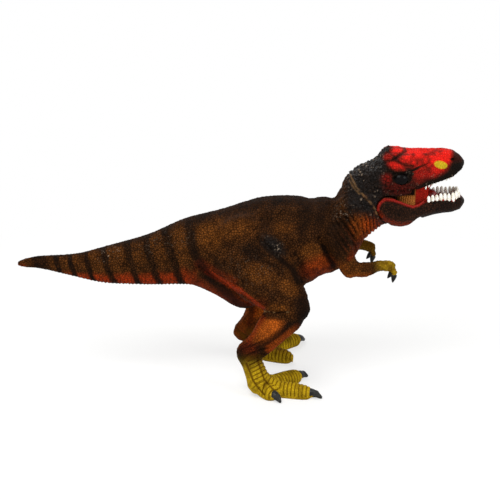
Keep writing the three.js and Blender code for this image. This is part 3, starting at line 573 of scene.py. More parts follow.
def tube(path, radii, sides=12):
    """A rope of clay along a path, with pointed ends."""
    path = np.asarray(path, float)
    ahead = np.gradient(path, axis=0)
    ahead /= np.linalg.norm(ahead, axis=1)[:, None]
    up = np.array((0.0, 0.0, 1.0)) if abs(ahead[0, 2]) < 0.9 else np.array((1.0, 0.0, 0.0))
    angles = np.linspace(0, 2 * math.pi, sides, endpoint=False)
    rings = []
    for centre, direction, radius in zip(path, ahead, radii):
        sideways = np.cross(direction, up)
        sideways /= np.linalg.norm(sideways)
        upward = np.cross(sideways, direction)
        rings.append(
            centre
            + radius * np.cos(angles)[:, None] * sideways
            + radius * np.sin(angles)[:, None] * upward
        )
    first_tip = path[:1] - ahead[:1] * radii[0] * TUBE_END
    last_tip = path[-1:] + ahead[-1:] * radii[-1] * TUBE_END
    points = np.concatenate([*rings, first_tip, last_tip])
    faces = []
    for row in range(len(path) - 1):
        for side in range(sides):
            after = (side + 1) % sides
            a, b = row * sides + side, row * sides + after
            faces.append([a, b, b + sides, a + sides])
    start, end, last_row = len(points) - 2, len(points) - 1, (len(path) - 1) * sides
    for side in range(sides):
        after = (side + 1) % sides
        faces.append([start, after, side])
        faces.append([end, last_row + side, last_row + after])
    return points, faces


def blob(centre, radii):
    """An egg of clay."""
    work = bmesh.new()
    bmesh.ops.create_icosphere(work, subdivisions=3, radius=1.0)
    points = np.array([v.co for v in work.verts]) * np.array(radii) + np.array(centre)
    faces = [[v.index for v in f.verts] for f in work.faces]
    work.free()
    return points, faces


def mirrored(form):
    """A form and its copy on the other side of the figure."""
    points, faces = form
    return [form, (points * np.array((1, -1, 1)), [face[::-1] for face in faces])]


def joined(forms):
    """Several forms as one mesh in metres."""
    points, faces = [], []
    for form_points, form_faces in forms:
        start = sum(len(p) for p in points)
        points.append(form_points)
        faces.extend([[start + v for v in face] for face in form_faces])
    mesh = bpy.data.meshes.new("clay")
    mesh.from_pydata(metres(np.concatenate(points)).tolist(), [], faces)
    mesh.update()
    return mesh


def outer_skin(forms, voxel):
    """One closed skin of even faces round overlapping forms, without what lies inside."""
    blank = bpy.data.objects.new("blank", joined(forms))
    bpy.context.scene.collection.objects.link(blank)
    remesh = blank.modifiers.new("Voxels", "REMESH")
    remesh.mode = "VOXEL"
    remesh.voxel_size = voxel
    depsgraph = bpy.context.evaluated_depsgraph_get()
    mesh = bpy.data.meshes.new_from_object(blank.evaluated_get(depsgraph))
    bpy.data.objects.remove(blank)
    work = bmesh.new()
    work.from_mesh(mesh)
    seed = max(work.verts, key=lambda v: v.co.x)
    kept, front = {seed}, [seed]
    while front:
        vert = front.pop()
        for edge in vert.link_edges:
            other = edge.other_vert(vert)
            if other not in kept:
                kept.add(other)
                front.append(other)
    bmesh.ops.delete(work, geom=[v for v in work.verts if v not in kept], context="VERTS")
    work.to_mesh(mesh)
    work.free()
    return mesh


class Skin:
    """A closed skin while it is shaped and painted; lengths are millimetres from the hips."""

    def __init__(self, mesh):
        self.mesh = mesh
        flat = np.empty(len(mesh.vertices) * 3)
        mesh.vertices.foreach_get("co", flat)
        self.points = (flat.reshape(-1, 3) - HIP) / MM
        ends = np.empty(len(mesh.edges) * 2, np.int32)
        mesh.edges.foreach_get("vertices", ends)
        self.ends = ends.reshape(-1, 2)
        self.paints = {}
        self.settle()

    def settle(self):
        """Writes the points to the mesh and reads the normals and the flank drawing's places."""
        self.mesh.vertices.foreach_set("co", metres(self.points).ravel())
        self.mesh.update()
        flat = np.empty(len(self.points) * 3)
        self.mesh.vertices.foreach_get("normal", flat)
        self.normals = flat.reshape(-1, 3)
        self.flank = flank_drawing(self.points)
        self.outward = smooth(self.normals[:, 1] * np.sign(self.points[:, 1]) / 0.4)

    def neighbours(self, values):
        """The mean of each point's neighbours, column by column."""
        a, b = self.ends.T
        count = len(self.points)
        links = np.bincount(a, minlength=count) + np.bincount(b, minlength=count)
        return np.stack(
            [(np.bincount(a, v[b], count) + np.bincount(b, v[a], count)) / links for v in values.T], axis=1
        )

    def relax(self, rounds, share):
        """Evens the surface out; share is how far each point goes to its neighbours' middle."""
        pull = np.broadcast_to(share, len(self.points))[:, None]
        for _ in range(rounds):
            self.points += pull * (self.neighbours(self.points) - self.points)
        self.settle()

    def hollows(self, rounds, depth):
        """Where the surface dips below its surroundings: 1 in creases as deep as depth and 0 elsewhere."""
        evened = self.points
        for _ in range(rounds):
            evened = self.neighbours(evened)
        return smooth(np.sum((evened - self.points) * self.normals, axis=1) / depth)

    def lift(self, height):
        """Moves the surface out along its normals."""
        self.points += self.normals * np.asarray(height)[:, None]

    def stroke(self, path, width, height):
        """Raises a soft band along a line drawn on both flanks, or presses it in."""
        distance, _ = near_path(self.flank, path)
        self.lift(height * smooth(1 - distance / width) * self.outward)

    def spot(self, x, h, reach, rise, turn=0.0):
        """A soft oval on the flank drawing: 1 in its middle and 0 at its edge."""
        dx, dh = self.flank[:, 0] - x, self.flank[:, 1] - h
        c, s = math.cos(math.radians(turn)), math.sin(math.radians(turn))
        across, upward = (dx * c + dh * s) / reach, (dh * c - dx * s) / rise
        return smooth(SPOT_EDGE * (1 - np.hypot(across, upward)))

    def dab(self, centre, reach):
        """A soft ball on one side of the figure: 1 in its middle and 0 at its edge."""
        return smooth(SPOT_EDGE * (1 - np.linalg.norm(self.points - np.array(centre), axis=1) / reach))

    def band(self, path, width):
        """A soft line on the flank drawing."""
        return smooth(BAND_EDGE * (1 - near_path(self.flank, path)[0] / width))

    def patch(self, place):
        """A soft oval, or a soft line where the place starts with a list of points."""
        return self.band(*place) if isinstance(place[0], list) else self.spot(*place)

    def strongest(self, patches):
        """The strongest of several patches at each point."""
        return np.maximum.reduce([strength * self.patch(place) for strength, place in patches])

    def brush_patches(self, patches, mottle, within=1.0):
        """Brushes patches of paint that are as even and as mottled as each one says."""
        for paint, strength, even, mottled, place in patches:
            self.brush(paint, strength * within * self.patch(place) * (even + mottled * mottle))

    def brush(self, name, mask):
        """Adds a paint mask where it is stronger than what is there."""
        before = self.paints.get(name, np.zeros(len(self.points)))
        self.paints[name] = np.maximum(before, np.clip(mask, 0, 1))

    def wipe(self, name, mask):
        """Takes paint off."""
        if name in self.paints:
            self.paints[name] = self.paints[name] * (1 - np.clip(mask, 0, 1))

    def store(self):
        """Keeps the paint masks on the mesh."""
        for name, mask in self.paints.items():
            layer = self.mesh.attributes.new(name, "FLOAT", "POINT")
            layer.data.foreach_set("value", mask.astype(np.float32))


def part_off(mesh, origin, normal, within):
    """Cuts a closed mesh along a plane and moves what lies beyond, inside a zone, to a new closed mesh."""
    normal = Vector(normal)
    origin = Vector(metres(origin))
    work = bmesh.new()
    work.from_mesh(mesh)
    zone = [f for f in work.faces if within((np.array(f.calc_center_median()) - HIP) / MM)]
    edges = {e for f in zone for e in f.edges}
    verts = {v for f in zone for v in f.verts}
    bmesh.ops.bisect_plane(work, geom=[*verts, *edges, *zone], plane_co=origin, plane_no=normal, dist=1e-7)
    for face in work.faces:
        middle = face.calc_center_median()
        face.tag = (middle - origin).dot(normal) > 0 and bool(within((np.array(middle) - HIP) / MM))
    halves = []
    for beyond in (True, False):
        half = work.copy()
        dropped = [f for f, tagged in zip(half.faces, [f.tag for f in work.faces]) if tagged != beyond]
        bmesh.ops.delete(half, geom=dropped, context="FACES")
        rim = [e for e in half.edges if e.is_boundary]
        for edge in rim:
            edge.smooth = False
        caps = bmesh.ops.holes_fill(half, edges=rim, sides=0)["faces"]
        bmesh.ops.triangulate(half, faces=caps)
        bmesh.ops.recalc_face_normals(half, faces=half.faces)
        halves.append(half)
    cut = mesh.copy()
    for half, target in zip(halves, (cut, mesh)):
        half.to_mesh(target)
        half.free()
    work.free()
    return cut


# Materials


def add_node(tree, kind, inputs=(), **settings):
    """Adds a node with its settings; inputs are values, or sockets to link from, by socket name or place."""
    made = tree.nodes.new(kind)
    for name, value in settings.items():
        setattr(made, name, value)
    for key, value in dict(inputs).items():
        if isinstance(value, bpy.types.NodeSocket):
            tree.links.new(value, made.inputs[key])
        else:
            made.inputs[key].default_value = value
    return made


def start_material(name):
    """An empty node material with its output."""
    made = bpy.data.materials.new(name)
    made.use_nodes = True
    made.node_tree.nodes.clear()
    return made, made.node_tree, add_node(made.node_tree, "ShaderNodeOutputMaterial")


def solid(colour):
    """A colour socket's value."""
    return (*colour, 1.0)


def mapped(tree, value, start=(0.0, 1.0), end=(0.0, 1.0)):
    """A value carried from one range to another."""
    ranges = {"From Min": start[0], "From Max": start[1], "To Min": end[0], "To Max": end[1]}
    return add_node(tree, "ShaderNodeMapRange", {"Value": value, **ranges}).outputs["Result"]


def mixed(tree, share, first, second):
    """Two colours mixed by a share."""
    return add_node(tree, "ShaderNodeMix", {0: share, 6: first, 7: second}, data_type="RGBA").outputs[2]


def calculated(tree, operation, *values, **settings):
    """The result of a calculation with values or sockets."""
    return add_node(tree, "ShaderNodeMath", enumerate(values), operation=operation, **settings).outputs[0]


def grain(tree, place, size, detail):
    """Cloudy noise with patches of a size in millimetres."""
    inputs = {"Vector": place, "Scale": 1 / (size * MM), "Detail": detail}
    return add_node(tree, "ShaderNodeTexNoise", inputs).outputs["Fac"]


def bumpy(tree, height, strength, distance):
    """A normal that shows relief of a height in millimetres."""
    inputs = {"Height": height, "Strength": strength, "Distance": distance * MM}
    return add_node(tree, "ShaderNodeBump", inputs).outputs["Normal"]


def end_material(tree, output, inputs):
    """Ends a material in one principled surface."""
    shader = add_node(tree, "ShaderNodeBsdfPrincipled", inputs)
    tree.links.new(shader.outputs[0], output.inputs["Surface"])


# Each paint is a mask on the mesh and a colour; the number is how much sits only on the tops of scales
PAINT_LAYERS = (
    ("ochre", 0.85),
    ("belly", 0.8),
    ("orange", 0.7),
    ("yellow", 0.25),
    ("red", 0.45),
    ("black", 0.1),
    ("scute", 0.0),
    ("crack", 0.0),
    ("tan", 0.35),
    ("painted_highlight", 0.0),
    ("spot", 0.1),
    ("cheek", 0.1),
    ("mouth", 0.15),
    ("claw", 0.0),
)


def painted_vinyl(name, base, paints, sizes):
    """Moulded PVC under hand-brushed acrylics: pebbly, satin, with a dark wash in the cracks that also
    paints the shade there.
    """
    made, tree, output = start_material(name)
    place = add_node(tree, "ShaderNodeTexCoord").outputs["Object"]
    scales = add_node(
        tree,
        "ShaderNodeTexVoronoi",
        {"Vector": place, "Scale": 1 / sizes.scale, "Randomness": 0.9},
        feature="DISTANCE_TO_EDGE",
    )
    tops = mapped(tree, scales.outputs["Distance"], (0.02, 0.22))
    uneven = mapped(tree, grain(tree, place, BRUSH_PATCH, 4.0), (0.32, 0.68), (0.45, 1.0))
    brushed = calculated(tree, "MULTIPLY", tops, uneven)
    # Between the scales the crack colour shows: a dark wash that also paints the shade in the cracks
    colour = mixed(tree, brushed, solid(paints.crack), solid(base))
    for paint, tops_share in PAINT_LAYERS:
        amount = add_node(tree, "ShaderNodeAttribute", attribute_name=paint).outputs["Fac"]
        if tops_share:
            cover = mapped(tree, brushed, end=(1 - tops_share, 1.0))
            amount = calculated(tree, "MULTIPLY", amount, cover)
        colour = mixed(tree, amount, colour, solid(getattr(paints, paint)))
    relief = calculated(tree, "MULTIPLY_ADD", grain(tree, place, FINE_GRAIN, 2.0), 0.3, tops)
    gloss = add_node(tree, "ShaderNodeAttribute", attribute_name="gloss").outputs["Fac"]
    surface = {
        "Base Color": colour,
        "Roughness": mapped(tree, gloss, end=(0.6, 0.3)),
        "IOR": 1.53,
        "Specular IOR Level": mapped(tree, gloss, end=(0.01, 0.1)),
        "Normal": bumpy(tree, relief, 0.8, SCALE_RELIEF),
    }
    end_material(tree, output, surface)
    return made


def glossy_plastic(name, light, dark, grain_mm, rough, shine):
    """Moulded and lacquered plastic: an even colour, slightly clouded, under a smooth wet-looking coat."""
    made, tree, output = start_material(name)
    place = add_node(tree, "ShaderNodeTexCoord").outputs["Object"]
    clouding = grain(tree, place, grain_mm, 3.0)
    surface = {
        "Base Color": mixed(tree, mapped(tree, clouding, (0.35, 0.65)), solid(dark), solid(light)),
        "Roughness": rough,
        "IOR": 1.5,
        "Specular IOR Level": shine,
        "Normal": bumpy(tree, clouding, 0.25, 0.1),
    }
    end_material(tree, output, surface)
    return made


def drawn_steel(name):
    """Drawn steel wire: bright grey with fine lines along its length."""
    made, tree, output = start_material(name)
    place = add_node(tree, "ShaderNodeTexCoord").outputs["Object"]
    stretched = add_node(tree, "ShaderNodeMapping", {"Vector": place, "Scale": (1.0, 0.05, 1.0)}).outputs[0]
    lines = grain(tree, stretched, 0.15, 2.0)
    surface = {
        "Base Color": mixed(tree, lines, solid(hex_colour("#a9abad")), solid(hex_colour("#c9cbcd"))),
        "Metallic": 1.0,
        "Roughness": mapped(tree, lines, end=(0.22, 0.42)),
    }
    end_material(tree, output, surface)
    return made


# Hide


def leg_place(side, local):
    """A place on a leg, from the hip, as millimetres from the middle of the hips."""
    x, y, z = local
    turn = LEG_TURN[side]
    y *= side
    return np.array(
        (
            x * math.cos(turn) - y * math.sin(turn),
            x * math.sin(turn) + y * math.cos(turn) + side * HIP_HALF_SPREAD,
            z,
        )
    )


def level(heading):
    """The level way that a heading in radians points."""
    return np.array((math.cos(heading), math.sin(heading), 0.0))


def past(points, start, ahead):
    """How far points lie past a start along a way, and how far beside it."""
    off = points - start
    beyond = off @ ahead
    return beyond, np.linalg.norm(off - beyond[:, None] * ahead, axis=1)


def fingers(side):
    """The last joint of each finger and the way its claw points."""
    knuckle = math.radians(KNUCKLE_PITCHES[side])
    found = []
    for lane, pitch in zip((-1, 1), FINGER_PITCHES[side]):
        bend = (FINGER_LENGTH * math.cos(knuckle), lane * FINGER_SPREAD, FINGER_LENGTH * math.sin(knuckle))
        angle = math.radians(pitch)
        ahead = np.array((math.cos(angle), 0.0, math.sin(angle)))
        found.append((np.array(ARMS[side][3]) + np.array(bend), ahead))
    return found


def toe_line(side, heading, reach):
    """The middle line of a toe, from the ball of the foot to its blunt end."""
    ball = leg_place(side, BALL)
    ahead = level(math.radians(heading))
    low = np.array((1.0, 1.0, 0.0)) * ball + np.array((0.0, 0.0, GROUND + TOE_HEIGHT))
    return np.array([ball, low + ahead * reach / 3, low + ahead * reach])


def head_clay():
    """Brow ridges, crest, serrated snout, cheeks, lips and nostril rims."""
    forms = []
    for line, radii in HEAD_ROPES:
        forms += mirrored(tube(line, radii))
    for middle, radii in HEAD_EGGS:
        forms += mirrored(blob(middle, radii))
    for middle in NAPE_BUMPS:
        forms += mirrored(blob(middle, NAPE_BUMP_RADII))
    for x in SNOUT_BUMPS:
        forms.append(blob((x, 0.0, SNOUT_BUMP_HEIGHT), SNOUT_BUMP_RADII))
    return forms


def shape_hide(skin, sizes):
    """Folds, creases, scutes and scales of the whole hide."""
    shape_outline(skin)
    for line, width, height in BORDERS:
        skin.stroke(line, width, height)
    for shift in HIP_FOLD_SHIFTS:
        fold = [(-1.5 + shift, 14), (-5 + shift, 8), (-10, 3.4 + shift), (-16, shift - 1)]
        skin.stroke(fold, 1.4, -0.35)
    skin.settle()
    shape_folds(skin)
    shape_face(skin)
    shape_feet(skin, sizes)
    shape_scales(skin, sizes)


def shape_outline(skin):
    """Evens out the joints between the solids and corrects the outline."""
    x, y, z = skin.points.T
    small = np.maximum(fall(z, -60, 12), rise(x, 54, 6) * fall(z, 12, 6))
    face = rise(x, 62, 8) * rise(z, 8, 6)
    skin.relax(70, 0.5 * (1 - 0.86 * np.maximum(small, 0.85 * face)))
    for rounds, place in EVENED_OVALS:
        skin.relax(rounds, 0.5 * skin.spot(*place))
    for height, place in OUTLINE_OVALS:
        skin.lift(height * skin.spot(*place))
    for balls in HOCK_BALLS:
        skin.lift(sum(height * skin.dab(middle, reach) for height, middle, reach in balls))
    # The tail's tip and the near elbow hang a little lower
    skin.points[:, 2] -= 0.9 * fall(x, -138, 12) + 1.4 * skin.dab(*ELBOW_BALL)
    skin.settle()
    back = rise(skin.normals[:, 2], 0.5, 0.4) * rise(z, 15, 4)
    for place, half, depth in BACK_DIPS:
        skin.lift(-depth * smooth(1 - np.abs(x - place) / half) * back)
    skin.settle()
    # Hands are slimmer than the solids
    hand = rise(x, 58, 8) * fall(z, 6, 4) * rise(np.abs(y), 12, 3)
    skin.lift(-0.35 * hand)
    skin.settle()


def shape_folds(skin):
    """Folds of the neck, chest, throat and the tail's underside."""
    wander = clouds(skin.points, 9.0, 3) * 0.45
    u, h = skin.flank.T
    chest_folds = skin.spot(*CHEST_FOLDS) * np.sin(2 * math.pi * ((0.84 * u + 0.54 * h) / 3.2 + wander))
    throat_folds = skin.spot(*THROAT_FOLDS) * np.sin(2 * math.pi * ((u + 0.22 * h) / 2.4 + wander))
    skin.lift(0.5 * chest_folds + 0.42 * throat_folds)
    skin.folds = smooth(chest_folds / 0.6)
    underside = fall(skin.normals[:, 2], -0.2, 0.4) * fall(u, -44, 8)
    skin.lift(0.2 * underside * np.sin(2 * math.pi * (u / 2.2 + wander)) * rise(u, -140, 40))
    skin.settle()


def shape_face(skin):
    """Eye sockets, brow creases, nostrils, cheek lines and the ridge across the neck."""
    for line, width, height in FACE_STROKES:
        skin.stroke(line, width, height)
    skin.lift(-1.4 * skin.spot(*EYE_SOCKET) * skin.outward)
    skin.lift(-1.5 * skin.spot(*NOSTRIL) * skin.outward)
    skin.lift(-1.9 * skin.spot(*NAPE_HOLLOW))
    skin.settle()


def shape_feet(skin, sizes):
    """Scutes across the toes and the fronts of the feet."""
    foot = np.zeros(len(skin.points))
    scutes = np.zeros(len(skin.points))
    nearest = np.full(len(skin.points), np.inf)
    pitch = sizes.scute / MM
    for side, _ in SIDES:
        hock, ball = leg_place(side, HOCK), leg_place(side, BALL)
        shin = [hock * 0.75 + ball * 0.25, ball]
        lines = [(shin, (1.0, 0.0, 0.5))]
        lines += [(toe_line(side, heading, reach), (0.0, 0.0, 1.0)) for heading, reach, _ in TOES[side]]
        for line, front in lines:
            distance, along = near_path(skin.points, line)
            facing = rise(skin.normals @ np.array(front), -0.6, 0.5)
            closer = (distance < nearest) & (distance < FOOT_REACH)
            nearest[closer] = distance[closer]
            share = along / pitch - np.floor(along / pitch)
            crack = smooth(1 - np.minimum(share, 1 - share) / SCUTE_CRACK)
            scutes[closer] = (crack * facing)[closer]
            foot[closer] = 1.0
    foot *= fall(skin.points[:, 2], -60, 8)
    skin.paints["foot"] = foot
    shape_toe_ends(skin)
    skin.paints["scute"] = scutes * foot * 0.85
    skin.lift(foot * (0.22 - 0.55 * scutes))
    for line in SCUTE_DIVIDES + HOCK_FOLDS:
        skin.stroke(line, 1.3, -0.5)
    skin.settle()


def shape_toe_ends(skin):
    """Paints the roots of the claws, and blunts a toe whose claw is too short to show."""
    for side, _ in SIDES:
        for heading, reach, length in TOES[side]:
            ahead = level(math.radians(heading))
            beyond, beside = past(skin.points, toe_line(side, heading, reach)[2], ahead)
            end = fall(beside, 5.5, 1.0)
            if length < SHORTEST_CLAW:
                skin.points -= (0.9 * end * np.clip(beyond, 0, 6))[:, None] * ahead
            else:
                skin.brush("claw", rise(beyond, 0.6, 0.8) * end)


def shape_scales(skin, sizes):
    """Coarse bumps on the nape and hip, and finer scales elsewhere."""
    x, _, z = skin.points.T
    nape = rise(x, 44, 6) * smooth((94 - x - 0.6 * (z - 40)) / 14) * rise(z, 12, 14)
    rough = np.maximum(nape * (1 - skin.spot(*SMOOTH_FACE)), skin.spot(*HIP_SCALES))
    skin.bumps = pebbles(skin.points, sizes.nape_scale / MM, 7)
    skin.lift(0.95 * rough * (skin.bumps - 0.4))
    body = 1 - np.maximum(rough, skin.paints["foot"])
    skin.lift(0.24 * body * (pebbles(skin.points, 1.7, 11) - 0.4))
    skin.points[:, 2] = np.maximum(skin.points[:, 2], GROUND)
    skin.settle()


def trunk_share(points):
    """How far up the trunk each point is, from 0 at its underside to 1 at its back."""
    found = [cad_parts[n].data.vertices for n in ("tail", "torso_right_shell", "torso_left_shell")]
    solid_points = (np.array([v.co for verts in found for v in verts]) - HIP) / MM
    stations = np.arange(solid_points[:, 0].min() + TRUNK_STEP, solid_points[:, 0].max(), TRUNK_STEP)
    windows = [solid_points[np.abs(solid_points[:, 0] - x) < TRUNK_WINDOW, 2] for x in stations]
    low = np.interp(points[:, 0], stations, [w.min() for w in windows])
    high = np.interp(points[:, 0], stations, [w.max() for w in windows])
    return (points[:, 2] - low) / (high - low), (low + high) / 2


def paint_trunk(skin):
    """Mottling, stripes and belly of the tail, torso and thighs, with painted highlights on scale tips,
    painted shade in creases and painted light on the flank.
    """
    x, _, z = skin.points.T
    share, middle = trunk_share(skin.points)
    mottle = clouds(skin.points, 7.0, 1) * 0.5 + clouds(skin.points, 3.0, 2) * 0.5
    tail = fall(x, -38, 10)
    stripes = np.zeros(len(x))
    for place, half in TAIL_STRIPES:
        offset = np.abs(x + STRIPE_LEAN * (z - middle) - place + 1.2 * mottle)
        stripes = np.maximum(stripes, smooth(1.5 - offset / half))
    skin.brush("black", stripes * tail * (0.48 + 0.65 * mottle + 0.5 * np.abs(share - 0.5)))
    skin.brush("black", 0.7 * rise(share, 0.92, 0.08) * fall(x, 52, 4))
    skin.brush_patches(TRUNK_PATCHES, mottle)
    # Red-orange along the underside
    edge = rise(share, 0.02, 0.06)
    under = smooth((0.42 - share + 0.14 * mottle) / 0.28) * edge * rise(x, -130, 25)
    skin.brush("belly", 0.95 * under * tail * (1 - 0.9 * stripes))
    hip = rise(x, -46, 6) * fall(x, 4, 10)
    skin.brush("belly", 0.45 * fall(share, 0.3, 0.2) * hip * edge)
    skin.brush("belly", 0.4 * skin.folds * (0.5 + 0.8 * mottle) * skin.spot(*RED_FOLDS))
    skin.brush("belly", 0.35 * fall(x, -146, 3) * fall(share, 0.5, 0.4))
    # Dry-brushed ochre, and painted highlights on the tips of scales
    skin.brush("ochre", (0.4 + 0.4 * mottle) * tail * (1 - stripes))
    skin.brush("ochre", 0.16 + 0.35 * mottle)
    tips = rise(pebbles(skin.points, 1.2, 19), 0.82, 0.15)
    tips = tips * rise(clouds(skin.points, 2.0, 20), -0.4, 0.5)
    skin.brush("painted_highlight", 0.55 * tips * skin.strongest(TRUNK_PAINTED_HIGHLIGHTS))
    # Painted shade darkens the creases
    skin.brush("crack", 0.85 * skin.hollows(5, 0.28))


def paint_limbs(skin):
    """Paint of the legs, arms and feet."""
    _, y, z = skin.points.T
    mottle = clouds(skin.points, 5.0, 5)
    leg = fall(z, -36, 4) * np.maximum(rise(np.abs(y), 13, 4), fall(z, -45, 3))
    paint_legs(skin, leg, mottle)
    paint_arms(skin, mottle)
    paint_feet(skin, leg, mottle)


def paint_legs(skin, leg, mottle):
    """Black knees over orange shanks, with painted shade under the thigh and down the shank."""
    _, y, z = skin.points.T
    for name in ("belly", "ochre", "black"):
        skin.wipe(name, leg * 0.9)
    skin.brush_patches(LEG_PATCHES, mottle, leg)
    inner = 1 - skin.outward
    skin.brush("orange", leg * inner * 0.6 * fall(z, -34, 8) * (0.8 + 0.5 * mottle))
    skin.brush("black", leg * inner * 0.5 * rise(clouds(skin.points, 6.0, 12), -0.1, 0.4))
    for side, _ in SIDES:
        own = leg * (np.sign(y) == side)
        along = near_path(skin.points, [leg_place(side, place) for place in (KNEE, HOCK, BALL)])[1]
        ahead = (skin.normals @ level(LEG_TURN[side])) * 0.5 + 0.5
        skin.brush("black", own * 0.8 * rise(ahead, 0.45, 0.3) * fall(along, 16, 10))
        skin.brush("black", own * 0.5 * smooth(1.3 - np.abs(along - 46) / 8))
    skin.brush("black", 0.75 * skin.band(*FAR_SHANK_STRIPE) * (y > 0))
    skin.brush_patches([KNEE_FRONT], mottle)


def paint_arms(skin, mottle):
    """Brown forearms, yellow hands and dark roots of the finger claws."""
    y = skin.points[:, 1]
    for side, _ in SIDES:
        elbow, wrist, palm = (np.array(place, float) for place in ARMS[side][1:])
        distance, along = near_path(skin.points, [elbow, wrist, palm, palm + FINGERS_FROM_PALM])
        arm = fall(distance, 9.5, 2) * (np.sign(y) == side)
        hand = arm * smooth((along - 11 + 2 * mottle) / 13)
        skin.wipe("belly", arm)
        skin.wipe("black", hand)
        skin.brush("yellow", HAND_YELLOW[side] * hand * (0.9 + 0.4 * mottle))
        skin.brush("scute", 0.6 * hand * rise(clouds(skin.points, 2.2, 14), -0.1, 0.4))
        skin.brush("ochre", 0.58 * arm * (0.8 + 0.5 * mottle))
        under = fall(skin.normals[:, 2], 0.1, 0.8)
        skin.brush("orange", 0.35 * arm * under * fall(along, 15, 6))
        for joint, ahead in fingers(side):
            beyond, beside = past(skin.points, joint, ahead)
            skin.brush("claw", rise(beyond, 1.8, 0.6) * fall(beside, 3.0, 0.5))
    skin.brush_patches([UPPER_ARM], mottle)


def paint_feet(skin, leg, mottle):
    """Yellow feet with brown lines between scutes and painted shade in their hollows, dark hock folds and
    the pale dots of the knee seam.
    """
    _, y, z = skin.points.T
    foot = skin.paints.pop("foot")
    top = np.where(y < 0, FOOT_TOPS[-1], FOOT_TOPS[1])
    skin.brush("yellow", smooth((top - z + 3 * mottle) / 16) * foot * (0.88 + 0.2 * mottle))
    for name in ("orange", "black", "belly", "ochre", "crack"):
        skin.wipe(name, fall(z, top - 4, 8) * foot * 0.9)
    # Painted shade in the hollows of the feet
    skin.brush("scute", 0.85 * foot * skin.hollows(6, 0.25))
    skin.brush("scute", 0.4 * foot * rise(clouds(skin.points, 2.4, 23), 0.05, 0.4))
    for line in SCUTE_DIVIDES:
        skin.brush("scute", 0.85 * foot * skin.band(line, 1.0) * skin.outward)
    for line in HOCK_FOLDS:
        skin.brush("black", 0.55 * leg * skin.band(line, 1.6) * skin.outward)
    broken = rise(clouds(skin.points, 1.3, 9), 0.1, 0.3)
    skin.brush("tan", 0.7 * skin.band(*KNEE_DOTS) * skin.outward * broken)
    skin.brush("tan", skin.spot(*KNEE_SPOT))


def paint_head(skin):
    """Paint of the nape, face and mouth."""
    mottle = clouds(skin.points, 4.0, 6) * 0.6 + clouds(skin.points, 1.8, 8) * 0.4
    paint_nape(skin, mottle)
    paint_face(skin, mottle)
    paint_mouth(skin)


def paint_nape(skin, mottle):
    """Black nape with painted highlights on the tips of its bumps, and the tan ridge across the neck."""
    u, h = skin.flank.T
    nape = rise(u, 47, 6) * smooth((h - 14 + 0.35 * (u - 50)) / 12)
    skin.wipe("belly", nape)
    skin.wipe("ochre", nape * 0.7)
    skin.brush("black", nape * (0.92 + 0.3 * mottle))
    skin.brush("gloss", nape * (0.2 + 0.5 * fall(u, 76, 6)))
    # Pale dots on the tops of the bumps are painted highlights
    tips = rise(skin.bumps, 0.8, 0.2) * rise(clouds(skin.points, 3.0, 22), 0.05, 0.3)
    skin.brush("painted_highlight", 0.4 * tips * nape * fall(u, 78, 8))
    broken = skin.outward * rise(clouds(skin.points, 2.2, 15), -0.6, 0.8)
    skin.brush("tan", 0.5 * skin.band(NECK_RIDGE, 1.0) * broken)
    skin.brush("tan", 0.45 * skin.band(SECOND_RIDGE, 0.8) * broken)
    skin.brush("orange", 0.4 * skin.band(NECK_RIDGE[3:], 2.2) * broken)


def paint_face(skin, mottle):
    """Red face with black lips and snout tip, painted shade in its creases, brow line and nostrils and round
    the eyes, and the snout's yellow spot.
    """
    u, h = skin.flank.T
    top = rise(skin.points[:, 2], 50, 3) * smooth((u - 85 - 0.5 * mottle) / 2.5)
    red = np.maximum(top, skin.strongest(FACE_RED)) * rise(u, 68, 5)
    red = red * np.clip(1.05 + 0.95 * mottle, 0, 1) * (1 - 0.3 * skin.spot(*FACE_SHADE))
    skin.wipe("black", red * 1.1)
    skin.wipe("crack", 0.5 * red)
    skin.brush("red", red)
    snout_tip = 0.88 * smooth((u - 112.6 - 0.1 * (h - 50) + 0.8 * mottle) / 4)
    lips = smooth(1.4 * (1 - near_path(skin.flank, LIP_LINE)[0] / 3.4)) * rise(u, 94, 4)
    # The brow line, the eye sockets, the creases and the nostrils are darkened with painted shade
    brow = skin.band(BROW_LINE, 1.3) * fall(u, 101, 9)
    socket = smooth(3 * skin.spot(*EYE_SHADOW)) * smooth((44.6 - h - 0.18 * (84 - u)) / 1.2)
    socket_front = smooth(2 * skin.spot(*EYE_SHADOW_FRONT))
    dark = np.maximum.reduce([snout_tip, lips, brow, socket, socket_front, skin.strongest(FACE_CREASE_SHADE)])
    skin.wipe("red", dark)
    skin.brush("black", dark * 0.95)
    skin.brush("spot", smooth(4 * skin.spot(*SNOUT_SPOT)) * skin.outward * (0.9 + 0.3 * mottle))


def paint_mouth(skin):
    """Red lining of the mouth, and pale specks on the face above it that are painted highlights."""
    x, y, z = skin.points.T
    u, h = skin.flank.T
    inward = fall(np.sign(y) * skin.normals[:, 1], 0.25, 0.3)
    inside = inward * rise(x, 80, 4) * fall(x, 114, 2)
    inside = inside * rise(z, 18, 4) * fall(z, 48, 3)
    inside = inside * smooth((9.0 - 0.33 * np.maximum(x - 98, 0) - np.abs(y)) / 1.2)
    skin.brush("mouth", inside)
    skin.wipe("black", inside)
    skin.wipe("crack", inside)
    # The pale specks are painted highlights
    specks = rise(pebbles(skin.points, 1.2, 24), 0.85, 0.1)
    specks = specks * rise(clouds(skin.points, 2.0, 25), 0.2, 0.3)
    skin.brush("painted_highlight", 0.25 * specks * rise(u, 68, 4) * fall(h, 47, 6) * (1 - inside))


def everywhere(_):
    """A zone without bounds."""
    return True


def below_knee(place):
    """The zone of the lower legs, clear of the belly."""
    return abs(place[1]) > LEG_INNER_SIDE or place[2] < BELOW_BELLY


